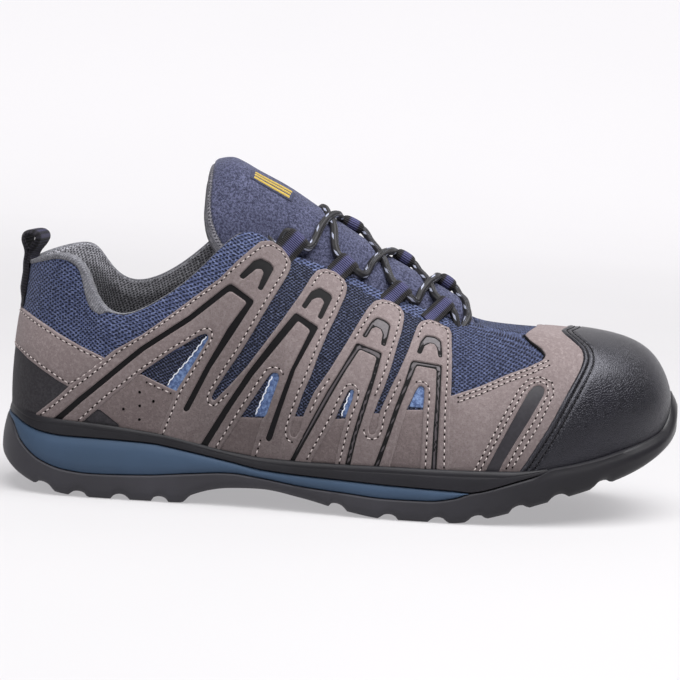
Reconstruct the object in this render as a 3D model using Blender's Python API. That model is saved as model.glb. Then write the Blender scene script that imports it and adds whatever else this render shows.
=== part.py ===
"""Lace-up safety trainer, right shoe. Lengths in millimetres until the last step.
+X toe, +Y medial (inner) side, +Z up; the lugs stand on z = 0."""
import bpy
import bmesh
import numpy as np

NAME = "safety_trainer"
MM = 0.001
GAP = 0.3                 # clearance between neighbouring pieces
WALL = 2.6                # shell of the upper
COLLAR_PAD = 5.2          # extra thickness of the padded collar
CAP_PROUD = 1.3           # toe cap leather
INSOLE_THICK = 4.5
TREAD_INSET = 3.0         # bottom edge of the tread inside the sole wall
RIM_INSET = 1.8           # top edge of the rand inside the sole wall
HEEL_RIM_INSET = 3.8
LUG_HALF_WIDTH = 4.2      # rounded notches between the lugs
LUG_DEPTH = 3.4
HEEL_NOTCHES = (-125.3, -109.8, -92.2, -74.5)
FORE_NOTCHES = (0.5, 22.9, 43.4, 62.1, 79.8, 96.5, 114.0)
FRAME_END_X = 84.0        # the rand stops here and the toe bumper takes over
WEDGE_END_X = 60.5        # front tip of the midsole wedge
LACE_R = 1.75
LOOP_THICK = 2.4
EYE_R = 2.9
EYE_INSIDE = 6.0          # lace eyes stand this far inside the throat edge

# ---- the last: a row for each section from heel back to toe tip ----
SECTION_COLUMNS = ("feather_x", "feather_lat", "feather_med",
                   "top_x", "top_lat", "top_med", "top_z_lat", "top_z_med")
SECTIONS = {
    "heel_back":    (-143.5,  0.0,  0.0, -139.5,  0.0,  0.0,  97.5,  97.5),
    "heel_round":   (-138.0, 19.0, 20.0, -134.5, 14.5, 15.0, 100.0, 100.3),
    "heel_quarter": (-127.0, 28.5, 29.0, -122.5, 26.5, 27.0, 103.0, 103.6),
    "collar_ear":   (-115.0, 31.8, 32.3, -112.8, 31.0, 31.0,  98.0, 101.8),
    "collar_fall":  (-107.5, 32.8, 33.0, -106.8, 32.8, 32.2,  86.8,  94.6),
    "ankle_dip":    ( -98.0, 33.5, 33.0,  -98.5, 34.0, 33.3,  79.4,  88.4),
    "ankle_front":  ( -82.0, 34.0, 32.0,  -82.5, 34.0, 33.5,  84.3,  91.6),
    "collar_front": ( -64.0, 34.8, 29.4,  -64.0, 31.5, 31.0,  99.6, 106.5),
    "eyestay_top":  ( -44.0, 36.4, 27.2,  -44.5, 25.8, 25.4, 117.2, 122.6),
    "eyestay_rear": ( -24.0, 39.4, 28.0,  -28.0, 22.8, 22.0, 110.4, 118.2),
    "instep":       (  -2.0, 43.2, 32.0,   -5.0, 20.8, 19.8, 102.6, 111.8),
    "waist_fore":   (  22.0, 46.8, 39.4,   17.0, 18.8, 18.0,  93.6, 102.2),
    "ball":         (  48.0, 48.0, 46.0,   37.0, 15.8, 15.6,  86.8,  93.0),
    "vamp_side":    (  74.0, 47.0, 47.8,   50.0, 11.0, 11.8,  82.8,  86.0),
    "toe_side":     ( 100.0, 41.2, 46.6,   56.0,  6.0,  7.6,  81.6,  82.6),
    "toe_quarter":  ( 122.0, 28.8, 40.6,   58.4,  2.6,  4.8,  81.2,  81.5),
    "toe_round":    ( 137.2, 12.4, 29.4,   59.2,  0.2,  2.9,  81.2,  81.2),
    "toe_tip":      ( 143.0, -9.0,  9.0,   59.4, -1.4,  1.4,  81.2,  81.2),
}
# how each section leaves the feather edge and arrives at the top line
FULLNESS_COLUMNS = ("lean_deg", "rise", "pitch_deg", "reach")
FULLNESS = {
    "heel_back":    ( 6.0, 26.0, 84.0, 24.0),
    "collar_ear":   ( 9.0, 24.0, 88.0, 22.0),
    "ankle_dip":    (10.0, 20.0, 88.0, 16.0),
    "collar_front": (12.0, 28.0, 76.0, 24.0),
    "eyestay_top":  (12.0, 36.0, 62.0, 34.0),
    "instep":       (10.0, 34.0, 50.0, 28.0),
    "ball":         ( 8.0, 30.0, 34.0, 24.0),
    "vamp_side":    ( 5.0, 33.0, 22.0, 28.0),
    "toe_side":     ( 3.0, 37.0, 10.0, 40.0),
    "toe_quarter":  ( 1.0, 40.0,  5.0, 58.0),
    "toe_tip":      ( 0.0, 42.0,  2.0, 70.0),
}
# ---- the sole in side view: tread, wedge lower and upper line, rim, cup floor; wall margin in plan ----
SOLE_COLUMNS = ("x", "bottom", "wedge_low", "wedge_top", "rim", "floor", "margin")
SOLE = (
    (-150.0, 15.0, 27.0, 38.0, 42.0, 28.0, 6.5),
    (-144.0, 11.5, 25.6, 35.5, 40.6, 27.5, 6.5),
    (-138.0,  7.2, 21.5, 32.2, 37.6, 27.0, 6.0),
    (-128.0,  3.4, 15.9, 28.4, 34.4, 26.6, 5.4),
    (-118.0,  0.8, 12.6, 26.8, 32.8, 26.2, 5.0),
    (-107.0,  0.0, 10.7, 25.9, 32.3, 25.8, 4.8),
    ( -80.0,  0.0, 11.4, 22.5, 28.8, 22.3, 4.8),
    ( -64.0,  1.6, 13.2, 19.6, 25.0, 18.5, 4.8),
    ( -45.0,  7.9, 14.8, 16.9, 21.7, 15.2, 4.8),
    ( -32.0,  8.5, 14.8, 16.3, 20.9, 14.4, 4.8),
    ( -14.0,  6.8, 13.9, 15.6, 21.0, 14.5, 4.8),
    (   4.0,  2.2, 11.4, 14.8, 21.9, 15.4, 4.8),
    (  22.0,  0.0,  9.6, 14.3, 22.6, 16.1, 5.0),
    (  50.0,  0.0,  9.6, 14.0, 22.8, 16.4, 5.0),
    (  62.0,  2.0, 13.8, 14.2, 23.0, 16.9, 5.0),
    (  74.0,  5.4, 20.4, 20.4, 24.2, 18.6, 5.2),
    (  88.0,  9.9, 27.3, 27.3, 27.3, 21.8, 5.4),
    ( 112.0, 17.0, 32.8, 32.8, 32.8, 28.4, 5.8),
    ( 130.0, 23.4, 37.0, 37.0, 37.0, 34.2, 6.2),
    ( 143.0, 31.6, 45.0, 45.0, 45.0, 38.8, 7.0),
    ( 150.0, 40.0, 52.0, 52.0, 52.0, 42.0, 7.0),
)
# ---- the tongue: crown of its arch, half width, thickness, squareness of the arch; edge drop in front of the throat ----
TONGUE_COLUMNS = ("x", "crown", "half_width", "thick", "power", "free_drop")
TONGUE = (
    ( 72.0,  74.6, 16.0,  3.0, 2.0,  3.6),
    ( 64.0,  76.0, 15.5,  3.0, 2.0,  3.8),
    ( 58.0,  77.6, 14.5,  3.4, 2.0,  4.2),
    ( 54.0,  80.6, 11.0,  4.0, 2.0,  8.0),
    ( 50.0,  85.6, 12.0,  4.3, 2.0, 10.0),
    ( 46.0,  90.0, 14.0,  4.6, 2.1, 12.0),
    ( 36.0,  98.4, 18.5,  5.2, 2.1, 16.0),
    ( 18.0, 107.8, 21.5,  6.0, 2.2, 20.0),
    (  4.0, 116.4, 23.5,  6.6, 2.2, 24.0),
    ( -7.0, 123.0, 25.0,  7.0, 2.3, 28.0),
    (-16.0, 128.8, 26.0,  7.6, 2.4, 32.0),
    (-28.0, 136.0, 27.5,  8.6, 2.6, 36.0),
    (-40.0, 141.8, 29.0,  9.6, 2.8, 40.0),
    (-47.0, 145.2, 29.5, 10.0, 2.9, 40.0),
    (-53.0, 147.0, 30.0, 10.2, 2.9, 40.0),
    (-58.5, 146.2, 29.5,  9.4, 2.9, 40.0),
    (-62.0, 143.0, 28.5,  7.0, 2.9, 40.0),
    (-63.4, 139.8, 27.5,  3.6, 2.9, 40.0),
)
# rear edge of the toe cap on the chart of the upper: perimeter position from the toe tip, height
CAP_EDGE_COLUMNS = ("from_tip", "v")
CAP_EDGE = ((0.1106, 0.069), (0.1039, 0.138), (0.0965, 0.208), (0.0857, 0.314), (0.0729, 0.428),
            (0.0602, 0.535), (0.0534, 0.604), (0.0460, 0.686), (0.0330, 0.755), (0.0184, 0.786), (0.0, 0.790))
# lace loops: x of the eye, x of the base, webbing width
LOOP_COLUMNS = ("eye_x", "base_x", "width")
LOOPS = ((-22.5, -28.0, 10.0), (0.0, -5.5, 9.0), (23.5, 19.5, 7.5), (38.0, 33.5, 6.5))
# pull loop at the heel: x and z of the outer face, from the heel up, over and down inside the collar
PULL_COLUMNS = ("x", "z")
PULL_TOP = ((-143.8, 100.0), (-143.7, 104.3), (-142.0, 107.8), (-138.4, 110.0), (-134.7, 109.4), (-132.3, 106.2), (-131.7, 101.0), (-131.7, 95.0))
PULL_LOW_Z = 73.0
PULL_WIDTH = 17.0
PULL_THICK = 2.0


def closed_spline(knots, values, at):
    """Smooth closed curve through rows of values; the last row repeats the first."""
    t, y = np.asarray(knots, float), np.asarray(values, float)
    n = len(t) - 1
    h = np.diff(t)
    lhs, rhs = np.zeros((n, n)), np.zeros((n, y.shape[1]))
    for i in range(n):
        lhs[i, (i - 1) % n] += h[i - 1]
        lhs[i, i] += 2 * (h[i - 1] + h[i])
        lhs[i, (i + 1) % n] += h[i]
        rhs[i] = 6 * ((y[i + 1] - y[i]) / h[i] - (y[i] - y[(i - 1) % n]) / h[i - 1])
    m = np.linalg.solve(lhs, rhs)
    m = np.concatenate([m, m[:1]])
    a = t[0] + np.mod(np.asarray(at, float) - t[0], t[-1] - t[0])
    i = np.clip(np.searchsorted(t, a, side="right") - 1, 0, n - 1)
    w = h[i][:, None]
    p, q = (t[i + 1] - a)[:, None] / w, (a - t[i])[:, None] / w
    return p * y[i] + q * y[i + 1] + ((p**3 - p) * m[i] + (q**3 - q) * m[i + 1]) * w**2 / 6


def open_curve(knots, values, at):
    """Monotone curve through rows of values, held at its ends."""
    t, y = np.asarray(knots, float), np.asarray(values, float)
    h = np.diff(t)[:, None]
    d = np.diff(y, axis=0) / h
    m = np.zeros_like(y)
    m[0], m[-1] = d[0], d[-1]
    w1, w2 = 2 * h[1:] + h[:-1], h[1:] + 2 * h[:-1]
    with np.errstate(divide="ignore", invalid="ignore"):
        m[1:-1] = np.where(d[1:] * d[:-1] > 0, (w1 + w2) / (w1 / d[:-1] + w2 / d[1:]), 0.0)
    a = np.clip(np.asarray(at, float), t[0], t[-1])
    i = np.clip(np.searchsorted(t, a, side="right") - 1, 0, len(t) - 2)
    w, s = h[i], (a - t[i])[:, None] / h[i]
    return ((2 * s**3 - 3 * s**2 + 1) * y[i] + (s**3 - 2 * s**2 + s) * w * m[i]
            + (3 * s**2 - 2 * s**3) * y[i + 1] + (s**3 - s**2) * w * m[i + 1])


def column(table, names, name, at):
    """One column of a table whose first column is x, at the given x."""
    rows = np.array(sorted(table))
    return open_curve(rows[:, 0], rows[:, 1:], np.atleast_1d(at))[:, names.index(name) - 1]


def sole(name, x):
    return column(SOLE, SOLE_COLUMNS, name, x)


def around(lat, med):
    """Rows heel to toe on the lateral side, then back to the heel on the medial side."""
    return np.concatenate([lat, med[-2:0:-1], lat[:1]])


SECTION_NAMES = list(SECTIONS)
_sec = np.array([SECTIONS[n] for n in SECTION_NAMES])
ROWS = around(np.stack([_sec[:, 0], -_sec[:, 1], _sec[:, 3], -_sec[:, 4], _sec[:, 6]], 1),
              np.stack([_sec[:, 0], _sec[:, 2], _sec[:, 3], _sec[:, 5], _sec[:, 7]], 1))
_step = (0.7 * np.linalg.norm(np.diff(ROWS[:, :2], axis=0), axis=1)
         + 0.3 * np.linalg.norm(np.diff(ROWS[:, 2:], axis=0), axis=1))
KNOTS = np.concatenate([[0.0], np.cumsum(_step)]) / _step.sum()
_full = open_curve([SECTION_NAMES.index(n) for n in FULLNESS], [FULLNESS[n] for n in FULLNESS],
                   np.arange(len(SECTION_NAMES), dtype=float))
FULL = around(_full, _full)
S_TOE = KNOTS[len(SECTION_NAMES) - 1]


def knot(name):
    return KNOTS[SECTION_NAMES.index(name)]


def last_frame(s):
    """Feather point, top-line point, outward plan normal and fullness at perimeter position s."""
    row = closed_spline(KNOTS, ROWS, s)
    tangent = (closed_spline(KNOTS, ROWS, s + 1e-4) - closed_spline(KNOTS, ROWS, s - 1e-4))[:, :2]
    tangent /= np.linalg.norm(tangent, axis=1)[:, None]
    feather = np.column_stack([row[:, :2], sole("floor", row[:, 0])])
    return feather, row[:, 2:], np.column_stack([tangent[:, 1], -tangent[:, 0]]), closed_spline(KNOTS, FULL, s)


def upper_point(s, v):
    """Outer face of the upper: s round the foot, v 0 at the feather edge to 1 at the top line."""
    s, v = np.broadcast_arrays(np.asarray(s, float), np.asarray(v, float))
    shape, s, v = s.shape, s.ravel(), v.ravel()
    low, top, out, full = last_frame(s)
    lean, rise, pitch, reach = np.radians(full[:, 0]), full[:, 1], np.radians(full[:, 2]), full[:, 3]
    away = (low - top)[:, :2] + 12.0 * out
    away /= np.linalg.norm(away, axis=1)[:, None]
    low_arm = low + np.column_stack([out * (np.sin(lean) * rise)[:, None], np.cos(lean) * rise])
    top_arm = top + np.column_stack([away * (np.cos(pitch) * reach)[:, None], -np.sin(pitch) * reach])
    t = v[:, None]
    p = (1 - t)**3 * low + 3 * (1 - t)**2 * t * low_arm + 3 * (1 - t) * t**2 * top_arm + t**3 * top
    return p.reshape(shape + (3,))


def upper_normal(s, v):
    s, v = np.broadcast_arrays(np.asarray(s, float), np.asarray(v, float))
    e = 5e-4
    along = upper_point(s + e, v) - upper_point(s - e, v)
    up = upper_point(s, np.minimum(v + e, 1)) - upper_point(s, np.maximum(v - e, 0))
    n = np.cross(along, up)
    return n / np.linalg.norm(n, axis=-1)[..., None]


def smooth(a, b, x):
    t = np.clip((x - a) / (b - a), 0, 1)
    return t * t * (3 - 2 * t)


def wall(s, v):
    """Thickness of the upper: the shell, and the padding of the collar."""
    near = np.minimum(s, 1 - s)
    collar = 1 - smooth(knot("ankle_front"), 0.5 * (knot("collar_front") + knot("eyestay_top")), near)
    return WALL + collar * COLLAR_PAD * smooth(0.30, 0.72, v) * (1 - 0.45 * smooth(0.88, 1.0, v))


def height_v(s, z):
    """v at which the upper reaches height z, for each s."""
    v = np.linspace(0, 0.6, 241)
    h = upper_point(s[:, None], v[None, :])[..., 2]
    return np.array([np.interp(zi, hi, v) for zi, hi in zip(z, h)])


def side_s(x, medial):
    """Perimeter positions whose feather edge lies at x."""
    s = np.linspace(S_TOE, 1.0, 1501) if medial else np.linspace(0.0, S_TOE, 1501)
    fx = closed_spline(KNOTS, ROWS, s)[:, 0]
    fx[0], fx[-1] = (ROWS[len(SECTION_NAMES) - 1, 0], ROWS[0, 0]) if medial else (ROWS[0, 0], ROWS[len(SECTION_NAMES) - 1, 0])
    return np.interp(x, fx[::-1], s[::-1]) if medial else np.interp(x, fx, s)


# ------------------------------------------------------------------ scene helpers
for ob in list(bpy.data.objects):
    bpy.data.objects.remove(ob, do_unlink=True)
PARTS = bpy.data.collections.new(NAME)
CUTTERS = bpy.data.collections.new(NAME + "_cutters")
bpy.context.scene.collection.children.link(PARTS)
bpy.context.scene.collection.children.link(CUTTERS)


def material(name, rgb, rough):
    mat = bpy.data.materials.new(name)
    mat.use_nodes = True
    shader = mat.node_tree.nodes["Principled BSDF"]
    shader.inputs["Base Color"].default_value = (*rgb, 1)
    shader.inputs["Roughness"].default_value = rough
    return mat


def solid(name, verts, faces, rgb=None, rough=0.7, collection=None):
    mesh = bpy.data.meshes.new(name)
    mesh.from_pydata([tuple(float(c) * MM for c in p) for p in verts], [], [tuple(f) for f in faces])
    bm = bmesh.new()
    bm.from_mesh(mesh)
    bmesh.ops.remove_doubles(bm, verts=bm.verts, dist=2e-6)
    bmesh.ops.recalc_face_normals(bm, faces=bm.faces)
    bm.to_mesh(mesh)
    bm.free()
    ob = bpy.data.objects.new(name, mesh)
    (collection or PARTS).objects.link(ob)
    if rgb:
        mesh.materials.append(material(name + "_mat", rgb, rough))
    return ob


def quads(rows, cols, close_rows=False, close_cols=False):
    """Quads over a rows x cols grid of vertices."""
    faces = []
    for i in range(rows if close_rows else rows - 1):
        for j in range(cols if close_cols else cols - 1):
            a, b = i * cols, (i + 1) % rows * cols
            k = (j + 1) % cols
            faces.append((a + j, a + k, b + k, b + j))
    return faces


def ladder(ring, offset):
    """Cap of a ring that runs heel, lateral, toe, medial."""
    n, h = ring, ring // 2
    faces = [(offset, offset + 1, offset + n - 1), (offset + h - 1, offset + h, offset + h + 1)]
    faces += [(offset + i, offset + i + 1, offset + n - i - 1, offset + n - i) for i in range(1, h - 1)]
    return faces


def ring_solid(name, loops, **look):
    """Closed body from rings of equal length: sides between them, ladder caps on the first and last."""
    n = len(loops[0])
    faces = quads(len(loops), n, close_cols=True) + ladder(n, 0) + ladder(n, (len(loops) - 1) * n)
    return solid(name, np.concatenate(loops), faces, **look)


def prism(name, xs, low, high):
    """Cutter between two lines in side view, wider than the shoe."""
    n = len(xs)
    outline = np.concatenate([np.column_stack([xs, low]), np.column_stack([xs, high])[::-1]])
    verts = [(x, y, z) for y in (-75.0, 75.0) for x, z in outline]
    m = 2 * n
    faces = [(i, (i + 1) % m, m + (i + 1) % m, m + i) for i in range(m)]
    for o in (0, m):
        faces += [(o + i, o + i + 1, o + m - 2 - i, o + m - 1 - i) for i in range(n - 1)]
    ob = solid(name, verts, faces, collection=CUTTERS)
    ob.hide_render = True
    ob.display_type = "WIRE"
    return ob


def keep(ob, cutter):
    mod = ob.modifiers.new("zone", "BOOLEAN")
    mod.operation, mod.solver, mod.object = "INTERSECT", "EXACT", cutter


# ------------------------------------------------------------------ stations
def stations(xs):
    xs = np.asarray(xs, float)
    return np.concatenate([[0.0], side_s(xs, False), [S_TOE], side_s(xs[::-1], True)])


notches = np.array(HEEL_NOTCHES + FORE_NOTCHES)
notch_rows = (notches[:, None] + LUG_HALF_WIDTH * np.array([-1.0, -0.62, 0.0, 0.62, 1.0])).ravel()
SOLE_S = stations(np.sort(np.concatenate([
    notch_rows, [-142.0, -138.5, -133.5, -66.0, -57.0, -47.0, -36.0, -24.0, -12.0, 11.7, 33.0, 52.7, 71.0, 123.0, 130.0, 135.5, 139.5, 142.0]])))
UPPER_S = stations(np.concatenate([
    [-142.3, -139.0, -134.0, -127.5, -121.0, -116.5, -113.0, -110.3, -107.5, -104.5, -101.0, -96.0, -88.0, -76.0, -68.0, -60.0, -53.0,
     -47.5, -43.0, -37.0, -29.0, -19.0, -8.0, 4.0, 16.0, 31.0, 46.0, 61.0, 76.0, 89.0, 101.0, 111.0, 119.0, 126.0, 131.0, 136.0, 139.5, 142.0]]))
UPPER_V = np.array([0.0, 0.08, 0.17, 0.28, 0.40, 0.53, 0.66, 0.79, 0.91, 1.0])


def lug_notch(x):
    t = np.abs(x[:, None] - notches[None, :]).min(axis=1) / LUG_HALF_WIDTH
    return LUG_DEPTH * np.sqrt(np.clip(1 - t**2, 0, 1))


# ------------------------------------------------------------------ upper
s_grid, v_grid = np.meshgrid(UPPER_S, UPPER_V, indexing="ij")
outer = upper_point(s_grid, v_grid)
inner = outer - upper_normal(s_grid, v_grid) * wall(s_grid, v_grid)[..., None]
inner[:, 0, 2] = outer[:, 0, 2]
crest = 0.5 * (outer[:, -1] + inner[:, -1]) + np.array([0, 0, 1.0]) * (0.28 * wall(UPPER_S, np.ones_like(UPPER_S)))[:, None]
profile = np.concatenate([outer, crest[:, None], inner[:, ::-1]], axis=1)
solid("upper", profile.reshape(-1, 3), quads(len(UPPER_S), profile.shape[1], True, True), rgb=(0.22, 0.18, 0.18), rough=0.9)

# ------------------------------------------------------------------ sole body, split into three layers
low_u, _, out_u, _ = last_frame(UPPER_S)
rim_v = height_v(UPPER_S, sole("rim", low_u[:, 0] + out_u[:, 0] * 3.0))
lift_out = np.column_stack([out_u, np.zeros(len(out_u))])


def facet(values_v):
    """Points of the upper's faceted outer face, one v for each of its stations."""
    return np.array([[np.interp(v, UPPER_V, outer[i, :, k]) for k in range(3)] for i, v in enumerate(values_v)])


CUP = [facet(rim_v * f) + lift_out * GAP - np.array([0, 0, GAP * (f == 0)]) for f in (1.0, 0.75, 0.5, 0.25, 0.0)]


def sole_body(s, lugs):
    """Rings of the whole sole: tread, wall, rim, cup wall and cup floor."""
    low, _, out, _ = last_frame(s)
    edge = low[:, :2] + out * sole("margin", low[:, 0])[:, None]
    tread_xy = edge - out * TREAD_INSET
    tread_z = sole("bottom", tread_xy[:, 0]) + (lug_notch(low[:, 0]) if lugs else 0.0)
    wall_z = np.maximum(sole("bottom", edge[:, 0]) + 3.0, tread_z + 1.0)
    inset = RIM_INSET + (HEEL_RIM_INSET - RIM_INSET) * (1 - smooth(-142.0, -120.0, low[:, 0]))
    rim_xy = edge - out * inset[:, None]
    rim_z = sole("rim", rim_xy[:, 0])
    order = np.concatenate([UPPER_S, [1.0]])
    cup = []
    for ring in CUP:
        ring = np.concatenate([ring, ring[:1]])
        cup.append(np.column_stack([np.interp(s, order, ring[:, k]) for k in range(3)]))
    return [np.column_stack([tread_xy, tread_z]), np.column_stack([edge, wall_z]),
            np.column_stack([edge, 0.45 * wall_z + 0.55 * rim_z]), np.column_stack([rim_xy, rim_z])] + cup


zone_x = np.concatenate([np.linspace(-160, -60, 26), np.linspace(-55, WEDGE_END_X, 22)])
front_x = np.linspace(WEDGE_END_X + 2, FRAME_END_X, 7)
lower_line = sole("wedge_low", zone_x)
upper_line = np.maximum(sole("wedge_top", zone_x), lower_line + 1.0)
rise_line = sole("wedge_low", front_x)
sky = 90.0
outsole_zone = prism("outsole_zone", np.concatenate([zone_x, front_x, [FRAME_END_X + 0.01, 160.0]]),
                     np.full(len(zone_x) + len(front_x) + 2, -20.0), np.concatenate([lower_line, rise_line, [sky, sky]]))
wedge_zone = prism("wedge_zone", zone_x, lower_line + GAP, upper_line)
frame_zone = prism("frame_zone", np.concatenate([zone_x, front_x - GAP]),
                   np.concatenate([upper_line, rise_line]) + GAP, np.full(len(zone_x) + len(front_x), sky))
for node, zone, rgb in (("outsole", outsole_zone, (0.045, 0.045, 0.05)), ("midsole_wedge", wedge_zone, (0.07, 0.105, 0.17)),
                        ("sole_frame", frame_zone, (0.035, 0.034, 0.04))):
    lugs = node == "outsole"
    keep(ring_solid(node, sole_body(SOLE_S if lugs else UPPER_S, lugs), rgb=rgb, rough=0.6), zone)

# ------------------------------------------------------------------ insole
inside = low_u[:, :2] - out_u * (WALL + 0.6)
under = np.column_stack([inside, sole("floor", inside[:, 0])])
shoulder = under + np.array([0, 0, INSOLE_THICK - 0.8])
face = np.column_stack([inside - out_u * 1.0, sole("floor", (inside - out_u)[:, 0]) + INSOLE_THICK])
ring_solid("insole", [under, shoulder, face], rgb=(0.12, 0.12, 0.13), rough=0.95)

# ------------------------------------------------------------------ tongue
SEAT_S = np.linspace(knot("ankle_front"), S_TOE - 0.075, 90)


def seat(x):
    """Inner corners of the throat edge at x: half width and height, lateral then medial."""
    sides = []
    for s in (SEAT_S, 1 - SEAT_S * (1 - S_TOE) / S_TOE):
        edge_in = upper_point(s, np.ones_like(s)) - upper_normal(s, np.ones_like(s)) * (wall(s, np.ones_like(s)) + 1.0)[:, None]
        order = np.argsort(edge_in[:, 0])
        sides += [np.interp(x, edge_in[order, 0], np.abs(edge_in[order, 1])), np.interp(x, edge_in[order, 0], edge_in[order, 2])]
    return sides


TONGUE_X = np.array(sorted(r[0] for r in TONGUE))


def tongue_row(x):
    x = np.atleast_1d(np.asarray(x, float))
    crown, half, thick, power, free = (column(TONGUE, TONGUE_COLUMNS, c, x) for c in TONGUE_COLUMNS[1:])
    y_lat, z_lat, y_med, z_med = seat(x)
    held = 1 - smooth(55.0, 59.0, x)
    hold = np.maximum(0.5 * (y_lat + y_med), 1.0)
    drop = np.maximum(crown - 0.5 * (z_lat + z_med), 0.5)
    arch = free / half**power * (1 - held) + drop / hold**power * held
    tilt = held * (z_med - z_lat) / (2 * hold)
    half = np.where(x < 20.0, np.minimum(half, hold + 1.8), half)
    return crown, half, thick, arch, power, tilt


def tongue_height(x, y):
    crown, _, _, arch, power, tilt = tongue_row(x)
    return crown - arch * np.abs(y)**power + tilt * y


def tongue_top(x, y):
    """Outer face of the tongue and its outward normal."""
    x, y = np.atleast_1d(np.asarray(x, float)), np.atleast_1d(np.asarray(y, float))
    n = np.column_stack([tongue_height(x - 0.5, y) - tongue_height(x + 0.5, y),
                         tongue_height(x, y - 0.5) - tongue_height(x, y + 0.5), np.ones_like(x)])
    return np.column_stack([x, y, tongue_height(x, y)]), n / np.linalg.norm(n, axis=1)[:, None]


ACROSS = np.array([-1.0, -0.90, -0.77, -0.60, -0.33, 0.0, 0.33, 0.60, 0.77, 0.90, 1.0])
sections = []
for x in TONGUE_X:
    crown, half, thick, arch, power, tilt = (c[0] for c in tongue_row(x))
    y = ACROSS * half
    over, n = tongue_top(np.full_like(y, x), y)
    taper = 1 - 0.55 * np.abs(ACROSS)**4
    down = n.copy()
    down[:, 0] = 0
    down /= np.linalg.norm(down, axis=1)[:, None]
    lean = 0.22 * np.maximum(crown - over[:, 2] - 16.0, 0) * smooth(-44.0, -60.0, x)
    over[:, 0] += lean
    sections.append(np.concatenate([over, (over - down * (thick * taper)[:, None])[::-1]]))
ring = len(sections[0])
faces = quads(len(sections), ring, close_cols=True)
for o in (0, (len(sections) - 1) * ring):
    faces += [(o + i, o + i + 1, o + ring - 2 - i, o + ring - 1 - i) for i in range(ring // 2 - 1)]
solid("tongue", np.concatenate(sections), faces, rgb=(0.07, 0.075, 0.13), rough=0.95)

# ------------------------------------------------------------------ toe cap, offset from the upper's own surface
edge_rows = np.array(CAP_EDGE)[::-1]
reach = np.array([-0.1075, -0.098, -0.087, -0.076, -0.067, -0.060, -0.053, -0.046, -0.038, -0.029, -0.021, -0.014, -0.007])
cap_s = S_TOE + np.concatenate([reach, [0.0], -reach[::-1] * (1 - S_TOE) / S_TOE])
from_tip = np.where(cap_s < S_TOE, S_TOE - cap_s, (cap_s - S_TOE) * S_TOE / (1 - S_TOE))
cap_top = open_curve(edge_rows[:, 0], edge_rows[:, 1:], from_tip)[:, 0]
low_c, _, out_c, _ = last_frame(cap_s)
cap_low = height_v(cap_s, sole("rim", low_c[:, 0] + out_c[:, 0] * 3.0) + 0.7)
cap_top = np.maximum(cap_top, cap_low + 0.012)
share = np.array([0, 0.14, 0.27, 0.39, 0.50, 0.60, 0.70, 0.80, 0.90, 1.0])
cap_v = cap_low[:, None] + (cap_top - cap_low)[:, None] * share[None, :]
cap_s2 = np.broadcast_to(cap_s[:, None], cap_v.shape)
skin, normal = upper_point(cap_s2, cap_v), upper_normal(cap_s2, cap_v)
near, far = skin + normal * (GAP + 0.40), skin + normal * (GAP + CAP_PROUD)
rows, cols = cap_v.shape
count = rows * cols
faces = quads(rows, cols) + [tuple(count + i for i in f) for f in quads(rows, cols)]
rim = [i * cols for i in range(rows)] + [(rows - 1) * cols + j for j in range(1, cols)] + \
      [i * cols + cols - 1 for i in range(rows - 2, -1, -1)] + list(range(cols - 2, 0, -1))
faces += [(a, b, count + b, count + a) for a, b in zip(rim, rim[1:] + rim[:1])]
solid("toe_cap", np.concatenate([near.reshape(-1, 3), far.reshape(-1, 3)]), faces, rgb=(0.03, 0.03, 0.035), rough=0.45)

# ------------------------------------------------------------------ heel pull loop
across = np.linspace(-0.5, 0.5, 5) * PULL_WIDTH
climb = np.linspace(PULL_LOW_Z, 94.0, 6)
back_s = np.linspace(-0.05, 0.05, 201)
back_v = np.linspace(0.3, 1.0, 141)
back = upper_point(back_s[:, None], back_v[None, :])
strips = []
for y in across:
    path = []
    for z in climb:
        k = np.argmin((back[..., 1] - y)**2 + (back[..., 2] - z)**2)
        p = back.reshape(-1, 3)[k]
        path.append((p[0] - GAP - 0.15, y, z))
    rest = np.array(PULL_TOP)
    lead = path[-1][0] - GAP
    curl = open_curve(np.arange(len(rest), dtype=float), rest, np.linspace(0, len(rest) - 1, 15))
    curl[:, 0] += (lead - curl[0, 0]) * (1 - smooth(0, 6, np.arange(15.0))) + 0.024 * y**2 * smooth(7, 12, np.arange(15.0))
    path += [(cx, y, cz) for cx, cz in curl]
    strips.append(path)
strips = np.array(strips)                                   # across, along, xyz
tangent = np.gradient(strips, axis=1)
tangent /= np.linalg.norm(tangent, axis=2)[..., None]
outward = np.stack([-tangent[..., 2], np.zeros(tangent.shape[:2]), tangent[..., 0]], axis=2)
skin_in, skin_out = strips, strips + outward * PULL_THICK
along = strips.shape[1]
sections = np.concatenate([skin_out, skin_in[::-1]], axis=0).transpose(1, 0, 2)
ring = sections.shape[1]
faces = quads(along, ring, close_cols=True)
for o in (0, (along - 1) * ring):
    faces += [(o + i, o + i + 1, o + ring - 2 - i, o + ring - 1 - i) for i in range(ring // 2 - 1)]
solid("heel_pull_loop", sections.reshape(-1, 3), faces, rgb=(0.016, 0.014, 0.02), rough=0.85)

# ------------------------------------------------------------------ lace loops and lace
TEAR = 16


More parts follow.
